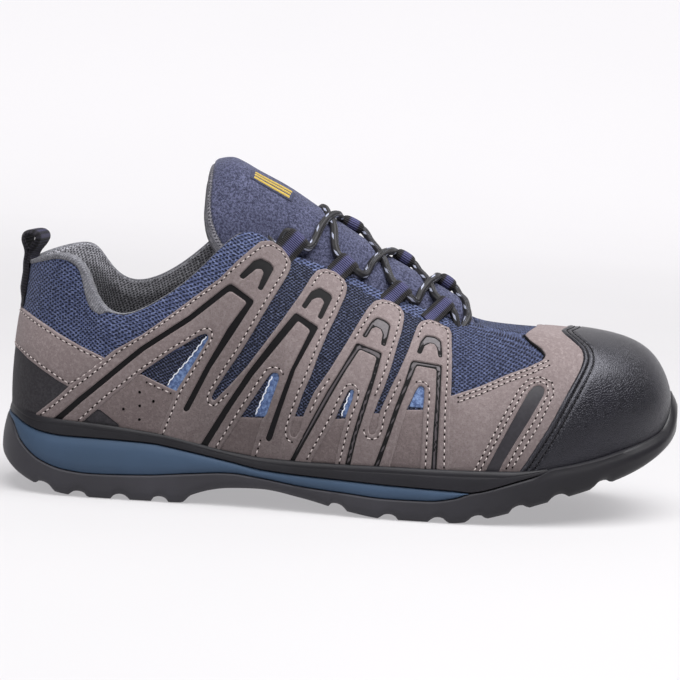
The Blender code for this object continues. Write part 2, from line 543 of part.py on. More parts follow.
def lace_loop(name, side, eye_x, base_x, width):
    """Folded webbing from the throat edge to an eye that the lace runs through."""
    skin_p, n = tongue_top(eye_x, side * (seat(np.array([eye_x]))[0 if side < 0 else 2][0] + 2.4 - EYE_INSIDE))
    eye = skin_p[0] + n[0] * (EYE_R + LOOP_THICK / 2 + 1.3)
    s = np.linspace(knot("eyestay_top"), S_TOE - 0.06, 400)
    if side > 0:
        s = 1 - s * (1 - S_TOE) / S_TOE
    line = upper_point(s, np.full_like(s, 0.975))
    k = int(np.argmin(np.abs(line[:, 0] - base_x)))
    base = line[k] + upper_normal(s[k], 0.975) * (LOOP_THICK / 2 + 0.9)
    w = line[min(k + 3, 399)] - line[max(k - 3, 0)]
    if w[0] < 0:
        w = -w
    d = eye - base
    length = np.linalg.norm(d)
    d /= length
    w -= d * (w @ d)
    w /= np.linalg.norm(w)
    up = np.cross(d, w) * (1 if np.cross(d, w)[2] > 0 else -1)
    ring_r = EYE_R + LOOP_THICK / 2
    angle = np.linspace(-np.pi, np.pi, TEAR, endpoint=False)
    outside = np.column_stack([length + ring_r * np.cos(angle), ring_r * np.sin(angle)])
    back = np.abs(angle) > 2.2
    outside[back, 0] = length - ring_r - (length - ring_r) * (np.abs(angle[back]) - 2.2) / (np.pi - 2.2)
    outside[back, 1] = np.sign(angle[back] + 1e-9) * LOOP_THICK / 2
    outside[0] = (-0.6, 0.0)
    hole = np.column_stack([length + EYE_R * np.cos(angle), EYE_R * np.sin(angle)])
    pts = []
    for shift in (-width / 2, width / 2):
        for ring2 in (outside, hole):
            pts += [base + d * a + up * b + w * shift for a, b in ring2]
    o1, h1, o2, h2 = 0, TEAR, 2 * TEAR, 3 * TEAR
    faces = []
    for i in range(TEAR):
        j = (i + 1) % TEAR
        faces += [(o1 + i, o1 + j, h1 + j, h1 + i), (o2 + i, o2 + j, h2 + j, h2 + i),
                  (o1 + i, o1 + j, o2 + j, o2 + i), (h1 + i, h1 + j, h2 + j, h2 + i)]
    solid(name, pts, faces, rgb=(0.03, 0.032, 0.06), rough=0.85)
    return eye, w


eyes = {}
for k, (eye_x, base_x, width) in enumerate(LOOPS, start=1):
    for tag, side in (("lat", -1), ("med", 1)):
        eyes[tag, k] = lace_loop(f"lace_loop_{tag}_{k}", side, eye_x, base_x, width) + (width,)

HUG = LACE_R + 0.5        # lace centre above the tongue
OVER = 2 * LACE_R + 0.45   # extra height of the strand that passes over a crossing


def strand(a, b, over):
    """Points between two eyes across the ridge, hugging the tongue."""
    pts = []
    for t in (0.22, 0.36, 0.5, 0.64, 0.78):
        x, y = (1 - t) * a[0] + t * b[0], (1 - t) * a[1] + t * b[1]
        p, n = tongue_top(x, y)
        lift = HUG + (OVER * np.exp(-(y / 5.0)**2) if over else 0.0)
        pts.append(p[0] + n[0] * lift)
    return pts


def through(key, toward_toe):
    eye, w, width = eyes[key]
    d = w if toward_toe else -w
    return [eye + d * (width / 2 + 0.8) * f for f in (-1.0, -0.5, 0.0, 0.5, 1.0)]


def other(tag):
    return "med" if tag == "lat" else "lat"


path = []
tag = "lat"
start = through(("lat", 1), True)
path += [start[0] - eyes["lat", 1][1] * 3.0] + start
for k in (2, 3, 4):
    nxt = through((other(tag), k), True)
    path += strand(path[-1], nxt[0], over=(k % 2 == 0)) + nxt
    tag = other(tag)
bar_from, bar_to = path[-1], through((other(tag), 4), False)
for t in (0.2, 0.4, 0.6, 0.8):
    x = (1 - t) * bar_from[0] + t * bar_to[0][0] + 3.2 * np.sin(np.pi * t)
    y = (1 - t) * bar_from[1] + t * bar_to[0][1]
    p, n = tongue_top(x, y)
    path.append(p[0] + n[0] * (HUG + 1.2))
path += bar_to
tag = other(tag)
for k in (3, 2, 1):
    nxt = through((other(tag), k), False)
    path += strand(path[-1], nxt[0], over=((k + 1) % 2 == 1)) + nxt
    tag = other(tag)
path.append(path[-1] - eyes["med", 1][1] * 3.0)
path = np.array(path)
chord = np.concatenate([[0], np.cumsum(np.linalg.norm(np.diff(path, axis=0), axis=1))])


def natural_spline(t, y, at):
    n = len(t)
    h = np.diff(t)
    lhs, rhs = np.eye(n), np.zeros_like(y)
    for i in range(1, n - 1):
        lhs[i, i - 1:i + 2] = (h[i - 1], 2 * (h[i - 1] + h[i]), h[i])
        rhs[i] = 6 * ((y[i + 1] - y[i]) / h[i] - (y[i] - y[i - 1]) / h[i - 1])
    m = np.linalg.solve(lhs, rhs)
    i = np.clip(np.searchsorted(t, at, side="right") - 1, 0, n - 2)
    w = h[i][:, None]
    p, q = (t[i + 1] - at)[:, None] / w, (at - t[i])[:, None] / w
    return p * y[i] + q * y[i + 1] + ((p**3 - p) * m[i] + (q**3 - q) * m[i + 1]) * w**2 / 6


STEPS, SIDES = 74, 6
line = natural_spline(chord, path, np.linspace(0, chord[-1], STEPS))
run = np.gradient(line, axis=0)
run /= np.linalg.norm(run, axis=1)[:, None]
normal = np.zeros_like(run)
n0 = np.cross(run[0], [0, 0, 1.0])
normal[0] = n0 / np.linalg.norm(n0)
for i in range(1, STEPS):
    n0 = normal[i - 1] - run[i] * (normal[i - 1] @ run[i])
    normal[i] = n0 / np.linalg.norm(n0)
bin_ = np.cross(run, normal)
angle = np.linspace(0, 2 * np.pi, SIDES, endpoint=False)
tube = line[:, None] + LACE_R * (np.cos(angle)[None, :, None] * normal[:, None] + np.sin(angle)[None, :, None] * bin_[:, None])
faces = quads(STEPS, SIDES, close_cols=True) + [tuple(range(SIDES)), tuple((STEPS - 1) * SIDES + i for i in range(SIDES))]
solid("lace", tube.reshape(-1, 3), faces, rgb=(0.02, 0.022, 0.045), rough=0.8)
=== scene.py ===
"""Looks of the lace-up safety trainer, right shoe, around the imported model.
Lengths in millimetres until a mesh is made. +X toe, +Y medial side, +Z up."""
import math
import bmesh
import bpy
import numpy as np
from mathutils import Matrix, Vector
from mathutils.geometry import delaunay_2d_cdt
from mathutils.kdtree import KDTree


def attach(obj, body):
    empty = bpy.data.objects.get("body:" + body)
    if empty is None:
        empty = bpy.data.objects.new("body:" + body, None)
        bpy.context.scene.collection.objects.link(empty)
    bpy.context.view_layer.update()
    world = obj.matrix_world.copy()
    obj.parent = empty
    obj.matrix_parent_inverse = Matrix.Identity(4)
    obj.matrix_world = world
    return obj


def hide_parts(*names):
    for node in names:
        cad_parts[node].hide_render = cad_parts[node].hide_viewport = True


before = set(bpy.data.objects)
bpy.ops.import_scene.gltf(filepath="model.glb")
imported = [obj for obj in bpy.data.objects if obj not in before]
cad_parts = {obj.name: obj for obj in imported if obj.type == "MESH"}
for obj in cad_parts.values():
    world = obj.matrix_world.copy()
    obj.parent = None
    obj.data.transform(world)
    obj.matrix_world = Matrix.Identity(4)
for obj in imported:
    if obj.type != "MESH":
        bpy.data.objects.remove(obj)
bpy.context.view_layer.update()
MM = 0.001
RNG = np.random.default_rng(7)

# ============================================================ the shoe's own sizes
GAP = 0.3
WALL = 2.6
COLLAR_PAD = 5.2
INSOLE_THICK = 4.5
TREAD_INSET = 3.0
RIM_INSET = 1.8
HEEL_RIM_INSET = 3.9
LUG_HALF_WIDTH = 3.6
LUG_DEPTH = 2.3
HEEL_NOTCHES = (-125.0, -110.4, -92.6, -75.5)
FORE_NOTCHES = (1.3, 23.3, 44.2, 60.3, 77.6, 94.2, 112.2)
FRAME_END_X = 84.0
WEDGE_END_X = 60.5
LACE_R = 1.75
LOOP_THICK = 2.4
EYE_R = 2.9
EYE_INSIDE = 6.0

SECTIONS = {   # feather_x, feather_lat, feather_med, top_x, top_lat, top_med, top_z_lat, top_z_med
    "heel_back":    (-143.5,  0.0,  0.0, -139.5,  0.0,  0.0,  97.5,  97.5),
    "heel_round":   (-138.0, 19.0, 20.0, -134.5, 14.5, 15.0, 100.0, 100.3),
    "heel_quarter": (-127.0, 28.5, 29.0, -122.5, 26.5, 27.0, 103.0, 103.6),
    "collar_ear":   (-115.0, 31.8, 32.3, -112.8, 31.0, 31.0,  98.0, 101.8),
    "collar_fall":  (-107.5, 32.8, 33.0, -106.8, 32.8, 32.2,  86.8,  94.6),
    "ankle_dip":    ( -98.0, 33.5, 33.0,  -98.5, 34.0, 33.3,  79.4,  88.4),
    "ankle_front":  ( -82.0, 34.0, 32.0,  -82.5, 34.0, 33.5,  84.3,  91.6),
    "collar_front": ( -64.0, 34.8, 29.4,  -64.0, 31.5, 31.0,  99.6, 106.5),
    "eyestay_top":  ( -44.0, 36.4, 27.2,  -44.5, 25.8, 25.4, 117.2, 122.6),
    "eyestay_rear": ( -24.0, 39.4, 28.0,  -28.0, 22.8, 22.0, 110.4, 118.2),
    "instep":       (  -2.0, 43.2, 32.0,   -5.0, 20.8, 19.8, 102.6, 111.8),
    "waist_fore":   (  22.0, 46.8, 39.4,   17.0, 18.8, 18.0,  93.6, 102.2),
    "ball":         (  48.0, 48.0, 46.0,   37.0, 15.8, 15.6,  86.8,  93.0),
    "vamp_side":    (  74.0, 47.0, 47.8,   50.0, 11.0, 11.8,  82.8,  86.0),
    "toe_side":     ( 100.0, 41.2, 46.6,   56.0,  6.0,  7.6,  81.6,  82.6),
    "toe_quarter":  ( 122.0, 28.8, 40.6,   58.4,  2.6,  4.8,  81.2,  81.5),
    "toe_round":    ( 137.2, 12.4, 29.4,   59.2,  0.2,  2.9,  81.2,  81.2),
    "toe_tip":      ( 143.0, -9.0,  9.0,   59.4, -1.4,  1.4,  81.2,  81.2),
}
FULLNESS = {   # lean_deg, rise, pitch_deg, reach
    "heel_back":    ( 6.0, 26.0, 84.0, 24.0),
    "collar_ear":   ( 9.0, 24.0, 88.0, 22.0),
    "ankle_dip":    (10.0, 20.0, 88.0, 16.0),
    "collar_front": (12.0, 28.0, 76.0, 24.0),
    "eyestay_top":  (12.0, 36.0, 62.0, 34.0),
    "instep":       (10.0, 34.0, 50.0, 28.0),
    "ball":         ( 8.0, 30.0, 34.0, 24.0),
    "vamp_side":    ( 5.0, 33.0, 22.0, 28.0),
    "toe_side":     ( 3.0, 37.0, 10.0, 40.0),
    "toe_quarter":  ( 1.0, 40.0,  5.0, 58.0),
    "toe_tip":      ( 0.0, 42.0,  2.0, 70.0),
}
SOLE_COLUMNS = ("x", "bottom", "wedge_low", "wedge_top", "rim", "floor", "margin")
SOLE = (
    (-150.0, 15.0, 32.0, 32.2, 38.0, 28.0, 4.6),
    (-144.0, 11.5, 28.2, 31.2, 37.2, 27.5, 4.6),
    (-138.0,  7.2, 21.4, 29.2, 35.2, 27.0, 5.0),
    (-128.0,  3.4, 14.5, 26.9, 33.3, 26.6, 5.2),
    (-118.0,  0.8, 11.5, 26.0, 32.8, 26.2, 5.0),
    (-107.0,  0.0, 10.5, 25.9, 32.3, 25.8, 4.8),
    ( -80.0,  0.0, 11.4, 25.0, 29.8, 22.3, 4.8),
    ( -72.0,  0.0, 12.2, 23.9, 28.7, 20.4, 4.8),
    ( -66.0,  0.2, 12.8, 22.9, 27.6, 18.9, 4.8),
    ( -62.0,  3.6, 13.2, 22.2, 26.8, 18.1, 4.8),
    ( -45.0,  7.9, 14.5, 19.2, 23.6, 15.2, 4.8),
    ( -32.0,  8.5, 13.3, 17.0, 22.3, 14.4, 4.8),
    ( -14.0,  6.0, 11.1, 15.9, 21.9, 14.5, 4.8),
    (   4.0,  2.2,  9.9, 15.3, 22.1, 15.4, 4.8),
    (  22.0,  0.0,  8.9, 14.7, 22.6, 16.1, 5.0),
    (  40.0,  0.0,  9.1, 14.2, 22.7, 16.3, 5.0),
    (  50.0,  0.0, 10.7, 13.9, 22.8, 16.4, 5.0),
    (  57.0,  0.9, 13.3, 13.5, 22.9, 16.7, 5.0),
    (  62.0,  2.0, 14.4, 14.4, 23.0, 16.9, 5.0),
    (  74.0,  5.4, 18.2, 18.2, 23.3, 18.6, 5.2),
    (  88.0,  9.9, 22.8, 22.8, 24.8, 21.8, 5.4),
    (  96.0, 12.2, 26.0, 26.0, 26.0, 23.8, 5.5),
    ( 112.0, 17.0, 29.4, 29.4, 29.4, 28.4, 5.8),
    ( 130.0, 23.4, 34.9, 34.9, 34.9, 34.2, 6.2),
    ( 137.0, 27.2, 37.6, 37.6, 37.6, 36.6, 6.7),
    ( 141.0, 30.0, 39.8, 39.8, 39.8, 38.0, 6.9),
    ( 143.6, 32.1, 44.0, 44.0, 44.0, 39.0, 7.0),
    ( 145.4, 34.2, 51.0, 51.0, 51.0, 39.8, 7.0),
    ( 146.8, 35.9, 56.0, 56.0, 56.0, 40.4, 7.0),
    ( 150.0, 40.0, 58.0, 58.0, 58.0, 42.0, 7.0),
)
TONGUE_COLUMNS = ("x", "crown", "half_width", "thick", "power", "free_drop")
TONGUE = (
    ( 72.0,  74.6, 16.0,  3.0, 2.0,  3.6),
    ( 64.0,  76.0, 15.5,  3.0, 2.0,  3.8),
    ( 58.0,  80.0, 14.5,  3.4, 2.0,  4.2),
    ( 54.0,  87.2, 11.0,  4.0, 2.0,  8.0),
    ( 50.0,  91.5, 12.0,  4.3, 2.0, 10.0),
    ( 46.0,  93.8, 14.0,  4.6, 2.1, 12.0),
    ( 36.0,  98.9, 18.5,  5.2, 2.1, 16.0),
    ( 18.0, 107.8, 21.5,  6.0, 2.2, 20.0),
    (  4.0, 116.4, 23.5,  6.6, 2.2, 24.0),
    ( -7.0, 123.0, 25.0,  7.0, 2.3, 28.0),
    (-16.0, 128.8, 26.0,  7.6, 2.4, 32.0),
    (-28.0, 136.0, 27.5,  8.6, 2.6, 36.0),
    (-40.0, 141.8, 29.0,  9.6, 2.8, 40.0),
    (-47.0, 145.2, 29.5, 10.0, 2.9, 40.0),
    (-53.0, 147.0, 30.0, 10.2, 2.9, 40.0),
    (-58.5, 146.2, 29.5,  9.4, 2.9, 40.0),
    (-62.0, 143.0, 28.5,  7.0, 2.9, 40.0),
    (-63.4, 139.8, 27.5,  3.6, 2.9, 40.0),
)
CAP_EDGE = ((0.1106, 0.069), (0.1039, 0.138), (0.0965, 0.208), (0.0857, 0.314), (0.0729, 0.428),
            (0.0602, 0.535), (0.0534, 0.604), (0.0460, 0.686), (0.0330, 0.755), (0.0184, 0.783), (0.0, 0.772))
LOOPS = ((-22.5, -28.0, 10.0), (0.0, -5.5, 9.5), (24.0, 19.5, 8.5), (43.0, 39.0, 7.5))   # eye_x, base_x, width
PULL_TOP = ((-142.9, 97.0), (-142.0, 100.5), (-141.4, 104.0), (-140.9, 107.0), (-139.2, 109.6), (-136.6, 110.0), (-135.0, 108.6), (-136.2, 105.9),
            (-138.4, 103.2), (-139.9, 100.6), (-140.4, 98.5))
PULL_LOW_Z = 73.0
PULL_WIDTH = 17.0
PULL_THICK = 2.0


# ============================================================ the last
def closed_spline(knots, values, at):
    t, y = np.asarray(knots, float), np.asarray(values, float)
    n = len(t) - 1
    h = np.diff(t)
    lhs, rhs = np.zeros((n, n)), np.zeros((n, y.shape[1]))
    for i in range(n):
        lhs[i, (i - 1) % n] += h[i - 1]
        lhs[i, i] += 2 * (h[i - 1] + h[i])
        lhs[i, (i + 1) % n] += h[i]
        rhs[i] = 6 * ((y[i + 1] - y[i]) / h[i] - (y[i] - y[(i - 1) % n]) / h[i - 1])
    m = np.linalg.solve(lhs, rhs)
    m = np.concatenate([m, m[:1]])
    a = t[0] + np.mod(np.asarray(at, float) - t[0], t[-1] - t[0])
    i = np.clip(np.searchsorted(t, a, side="right") - 1, 0, n - 1)
    w = h[i][:, None]
    p, q = (t[i + 1] - a)[:, None] / w, (a - t[i])[:, None] / w
    return p * y[i] + q * y[i + 1] + ((p**3 - p) * m[i] + (q**3 - q) * m[i + 1]) * w**2 / 6


def open_curve(knots, values, at):
    t, y = np.asarray(knots, float), np.asarray(values, float)
    h = np.diff(t)[:, None]
    d = np.diff(y, axis=0) / h
    m = np.zeros_like(y)
    m[0], m[-1] = d[0], d[-1]
    w1, w2 = 2 * h[1:] + h[:-1], h[1:] + 2 * h[:-1]
    with np.errstate(divide="ignore", invalid="ignore"):
        m[1:-1] = np.where(d[1:] * d[:-1] > 0, (w1 + w2) / (w1 / d[:-1] + w2 / d[1:]), 0.0)
    a = np.clip(np.asarray(at, float), t[0], t[-1])
    i = np.clip(np.searchsorted(t, a, side="right") - 1, 0, len(t) - 2)
    w, s = h[i], (a - t[i])[:, None] / h[i]
    return ((2 * s**3 - 3 * s**2 + 1) * y[i] + (s**3 - 2 * s**2 + s) * w * m[i]
            + (3 * s**2 - 2 * s**3) * y[i + 1] + (s**3 - s**2) * w * m[i + 1])


def column(table, names, name, at):
    rows = np.array(sorted(table))
    return open_curve(rows[:, 0], rows[:, 1:], np.atleast_1d(at))[:, names.index(name) - 1]


def sole(name, x):
    return column(SOLE, SOLE_COLUMNS, name, x)


def around(lat, med):
    return np.concatenate([lat, med[-2:0:-1], lat[:1]])


SECTION_NAMES = list(SECTIONS)
_sec = np.array([SECTIONS[n] for n in SECTION_NAMES])
ROWS = around(np.stack([_sec[:, 0], -_sec[:, 1], _sec[:, 3], -_sec[:, 4], _sec[:, 6]], 1),
              np.stack([_sec[:, 0], _sec[:, 2], _sec[:, 3], _sec[:, 5], _sec[:, 7]], 1))
_step = (0.7 * np.linalg.norm(np.diff(ROWS[:, :2], axis=0), axis=1)
         + 0.3 * np.linalg.norm(np.diff(ROWS[:, 2:], axis=0), axis=1))
KNOTS = np.concatenate([[0.0], np.cumsum(_step)]) / _step.sum()
PERIMETER = float(_step.sum())
_full = open_curve([SECTION_NAMES.index(n) for n in FULLNESS], [FULLNESS[n] for n in FULLNESS],
                   np.arange(len(SECTION_NAMES), dtype=float))
FULL = around(_full, _full)
S_TOE = KNOTS[len(SECTION_NAMES) - 1]
MIRROR = (1 - S_TOE) / S_TOE


def knot(name):
    return KNOTS[SECTION_NAMES.index(name)]


def last_frame(s):
    row = closed_spline(KNOTS, ROWS, s)
    tangent = (closed_spline(KNOTS, ROWS, s + 1e-4) - closed_spline(KNOTS, ROWS, s - 1e-4))[:, :2]
    tangent /= np.linalg.norm(tangent, axis=1)[:, None]
    feather = np.column_stack([row[:, :2], sole("floor", row[:, 0])])
    return feather, row[:, 2:], np.column_stack([tangent[:, 1], -tangent[:, 0]]), closed_spline(KNOTS, FULL, s)


def upper_point(s, v):
    s, v = np.broadcast_arrays(np.asarray(s, float), np.asarray(v, float))
    shape, s, v = s.shape, s.ravel(), v.ravel()
    low, top, out, full = last_frame(s)
    lean, rise, pitch, reach = np.radians(full[:, 0]), full[:, 1], np.radians(full[:, 2]), full[:, 3]
    away = (low - top)[:, :2] + 12.0 * out
    away /= np.linalg.norm(away, axis=1)[:, None]
    low_arm = low + np.column_stack([out * (np.sin(lean) * rise)[:, None], np.cos(lean) * rise])
    top_arm = top + np.column_stack([away * (np.cos(pitch) * reach)[:, None], -np.sin(pitch) * reach])
    t = v[:, None]
    p = (1 - t)**3 * low + 3 * (1 - t)**2 * t * low_arm + 3 * (1 - t) * t**2 * top_arm + t**3 * top
    return p.reshape(shape + (3,))


def upper_normal(s, v):
    s, v = np.broadcast_arrays(np.asarray(s, float), np.asarray(v, float))
    e = 5e-4
    along = upper_point(s + e, v) - upper_point(s - e, v)
    up = upper_point(s, np.minimum(v + e, 1)) - upper_point(s, np.maximum(v - e, 0))
    n = np.cross(along, up)
    return n / np.linalg.norm(n, axis=-1)[..., None]


def smooth(a, b, x):
    t = np.clip((np.asarray(x, float) - a) / (b - a), 0, 1)
    return t * t * (3 - 2 * t)


def bump_at(x, centre, width):
    return np.exp(-((x - centre) / width)**2)


def lateral_s(s):
    """The lateral position that mirrors s."""
    s = np.mod(s, 1.0)
    return np.where(s <= S_TOE, s, (1 - s) / MIRROR)


def collar_zone(s):
    near = np.minimum(np.mod(s, 1.0), 1 - np.mod(s, 1.0))
    return 1 - smooth(knot("ankle_front"), 0.5 * (knot("collar_front") + knot("eyestay_top")), near)


def wall(s, v):
    return WALL + collar_zone(s) * COLLAR_PAD * smooth(0.30, 0.72, v) * (1 - 0.45 * smooth(0.88, 1.0, v))


def relief(s, v):
    """Soft troughs and ridges of the upper: padded collar roll, flex creases of the vamp, sag at the heel."""
    side = lateral_s(s)
    roll = 1.3 * collar_zone(s) * bump_at(v, 0.86, 0.13) * smooth(0.02, 0.06, side)
    at = (side - knot("ball")) * PERIMETER
    flex = smooth(0.45, 0.62, v) * (1 - smooth(0.93, 0.99, v))
    crease = (-0.55 * bump_at(at + 12 * v, 16.0, 3.2) + 0.35 * bump_at(at + 12 * v, 21.0, 3.0)
              - 0.45 * bump_at(at + 10 * v, 27.0, 3.0)) * flex
    heel = -0.5 * bump_at(side * PERIMETER, 34.0, 9.0) * bump_at(v, 0.62, 0.10)
    return roll + crease + heel


def skin(s, v, h=0.0):
    """Point of the upper's finished outer face, h above it."""
    s, v = np.broadcast_arrays(np.asarray(s, float), np.asarray(v, float))
    return upper_point(s, v) + upper_normal(s, v) * (relief(s, v) + h)[..., None]


def height_v(s, z):
    v = np.linspace(0, 0.6, 241)
    h = upper_point(s[:, None], v[None, :])[..., 2]
    return np.array([np.interp(zi, hi, v) for zi, hi in zip(z, h)])


def side_s(x, medial):
    s = np.linspace(S_TOE, 1.0, 1501) if medial else np.linspace(0.0, S_TOE, 1501)
    fx = closed_spline(KNOTS, ROWS, s)[:, 0]
    fx[0], fx[-1] = (ROWS[len(SECTION_NAMES) - 1, 0], ROWS[0, 0]) if medial else (ROWS[0, 0], ROWS[len(SECTION_NAMES) - 1, 0])
    return np.interp(x, fx[::-1], s[::-1]) if medial else np.interp(x, fx, s)


_rs = np.linspace(-0.2, 1.2, 701)
_rlow, _, _rout, _ = last_frame(_rs)
_rim = height_v(np.mod(_rs, 1.0), sole("rim", _rlow[:, 0] + _rout[:, 0] * 3.0))


def rim_v(s):
    """Height on the upper at which the rand or the toe bumper meets it."""
    return np.interp(s, _rs, _rim)


# ============================================================ camera, and the photograph's pixels on the shoe
FRAME_PX = 680
FOCAL_PX = 2607.21
CAM_DISTANCE, CAM_ELEVATION, CAM_ROLL = 1150.0, math.radians(6.5), math.radians(3.1229)
CAM_TARGET = np.array([-1.6216, 0.0, 69.9966])
CAM_BACK = np.array([0.0, -math.cos(CAM_ELEVATION), math.sin(CAM_ELEVATION)])
_level, _rise = np.array([1.0, 0, 0]), np.array([0.0, math.sin(CAM_ELEVATION), math.cos(CAM_ELEVATION)])
CAM_RIGHT = math.cos(CAM_ROLL) * _level + math.sin(CAM_ROLL) * _rise
CAM_UP = -math.sin(CAM_ROLL) * _level + math.cos(CAM_ROLL) * _rise
CAM_POS = CAM_TARGET + CAM_BACK * CAM_DISTANCE
lens = bpy.data.cameras.new("camera")
lens.type, lens.sensor_width, lens.sensor_fit = "PERSP", 36.0, "HORIZONTAL"
lens.lens = 36.0 * FOCAL_PX / FRAME_PX
lens.clip_start, lens.clip_end = 0.05, 30.0
camera = bpy.data.objects.new("camera", lens)
bpy.context.scene.collection.objects.link(camera)
camera.matrix_world = Matrix(np.block([[np.column_stack([CAM_RIGHT, CAM_UP, CAM_BACK]), (CAM_POS * MM)[:, None]],
                                       [np.zeros((1, 3)), np.ones((1, 1))]]).tolist())
bpy.context.scene.camera = camera


def to_pixels(p):
    d = p - CAM_POS
    z = -(d @ CAM_BACK)
    return np.stack([FRAME_PX / 2 + FOCAL_PX * (d @ CAM_RIGHT) / z, FRAME_PX / 2 - FOCAL_PX * (d @ CAM_UP) / z], -1)


_gs, _gv = np.meshgrid(np.linspace(-0.05, S_TOE + 0.10, 720), np.linspace(0, 1, 120), indexing="ij")
_gp = upper_point(_gs, _gv)
_facing = ((upper_normal(_gs, _gv) * (CAM_POS - _gp)).sum(-1) > 0).ravel()
_seen = np.flatnonzero(_facing)
_gpx = to_pixels(_gp).reshape(-1, 2)[_seen]
_tree = KDTree(len(_seen))
for _i, (_x, _y) in enumerate(_gpx):
    _tree.insert((_x, _y, 0.0), _i)
_tree.balance()
_gsv = np.column_stack([_gs.ravel(), _gv.ravel()])[_seen]


def on_upper(px):
    """Chart positions (s, v) of points given in the photograph's pixels."""
    px = np.asarray(px, float)
    guess = _gsv[[_tree.find((x, y, 0.0))[1] for x, y in px]]
    sv = guess.copy()
    for _ in range(4):
        p = to_pixels(upper_point(sv[:, 0], sv[:, 1]))
        ds = (to_pixels(upper_point(sv[:, 0] + 1e-4, sv[:, 1])) - p) / 1e-4
        back = np.where(sv[:, 1] > 0.5, -1e-4, 1e-4)
        dv = (to_pixels(upper_point(sv[:, 0], sv[:, 1] + back)) - p) / back[:, None]
        det = ds[:, 0] * dv[:, 1] - ds[:, 1] * dv[:, 0]
        det = np.where(np.abs(det) < 1.0, np.where(det < 0, -1.0, 1.0), det)
        e = px - p
        sv[:, 0] += np.clip((e[:, 0] * dv[:, 1] - e[:, 1] * dv[:, 0]) / det, -0.004, 0.004)
        sv[:, 1] = np.clip(sv[:, 1] + np.clip((ds[:, 0] * e[:, 1] - ds[:, 1] * e[:, 0]) / det, -0.02, 0.02), 0.0, 1.0)
    worse = np.linalg.norm(to_pixels(upper_point(sv[:, 0], sv[:, 1])) - px, axis=1) > \
        np.linalg.norm(to_pixels(upper_point(guess[:, 0], guess[:, 1])) - px, axis=1)
    sv[worse] = guess[worse]
    return sv


def resample(p, step, closed=False):
    """Points along a polyline, one for each step."""
    q = np.concatenate([p, p[:1]]) if closed else p
    t = np.concatenate([[0], np.cumsum(np.linalg.norm(np.diff(q, axis=0), axis=1))])
    n = max(2, int(round(t[-1] / step)))
    at = np.linspace(0, t[-1], n + 1)
    out = np.column_stack([np.interp(at, t, q[:, k]) for k in range(q.shape[1])])
    return out[:-1] if closed else out


def rounded(px, closed=False, corner=4.0, step=1.2):
    """Corners of a given outline cut to a small radius."""
    p = np.asarray(px, float)
    q = np.concatenate([p, p[:1]]) if closed else p
    pieces = []
    for a, b in zip(q[:-1], q[1:]):
        n = max(1, int(np.ceil(np.linalg.norm(b - a) / corner)))
        pieces.append(a + (b - a) * np.linspace(0, 1, n, endpoint=False)[:, None])
    p = np.concatenate(pieces + ([] if closed else [q[-1:]]))
    for _ in range(3):
        nxt = np.roll(p, -1, axis=0)
        a, b = 0.75 * p + 0.25 * nxt, 0.25 * p + 0.75 * nxt
        cut = np.stack([a, b], 1).reshape(-1, 2)
        p = cut if closed else np.concatenate([p[:1], cut[:-2], p[-1:]])
    return resample(p, step, closed)


def line(*px, corner=4.0):
    return on_upper(rounded(px, corner=corner))


def loop(*px, corner=4.0):
    return on_upper(rounded(px, closed=True, corner=corner))


# ============================================================ materials
def rgb(r, g, b):
    c = np.array([r, g, b]) / 255.0
    c = np.where(c <= 0.04045, c / 12.92, ((c + 0.055) / 1.055)**2.4)
    return (float(c[0]), float(c[1]), float(c[2]), 1.0)


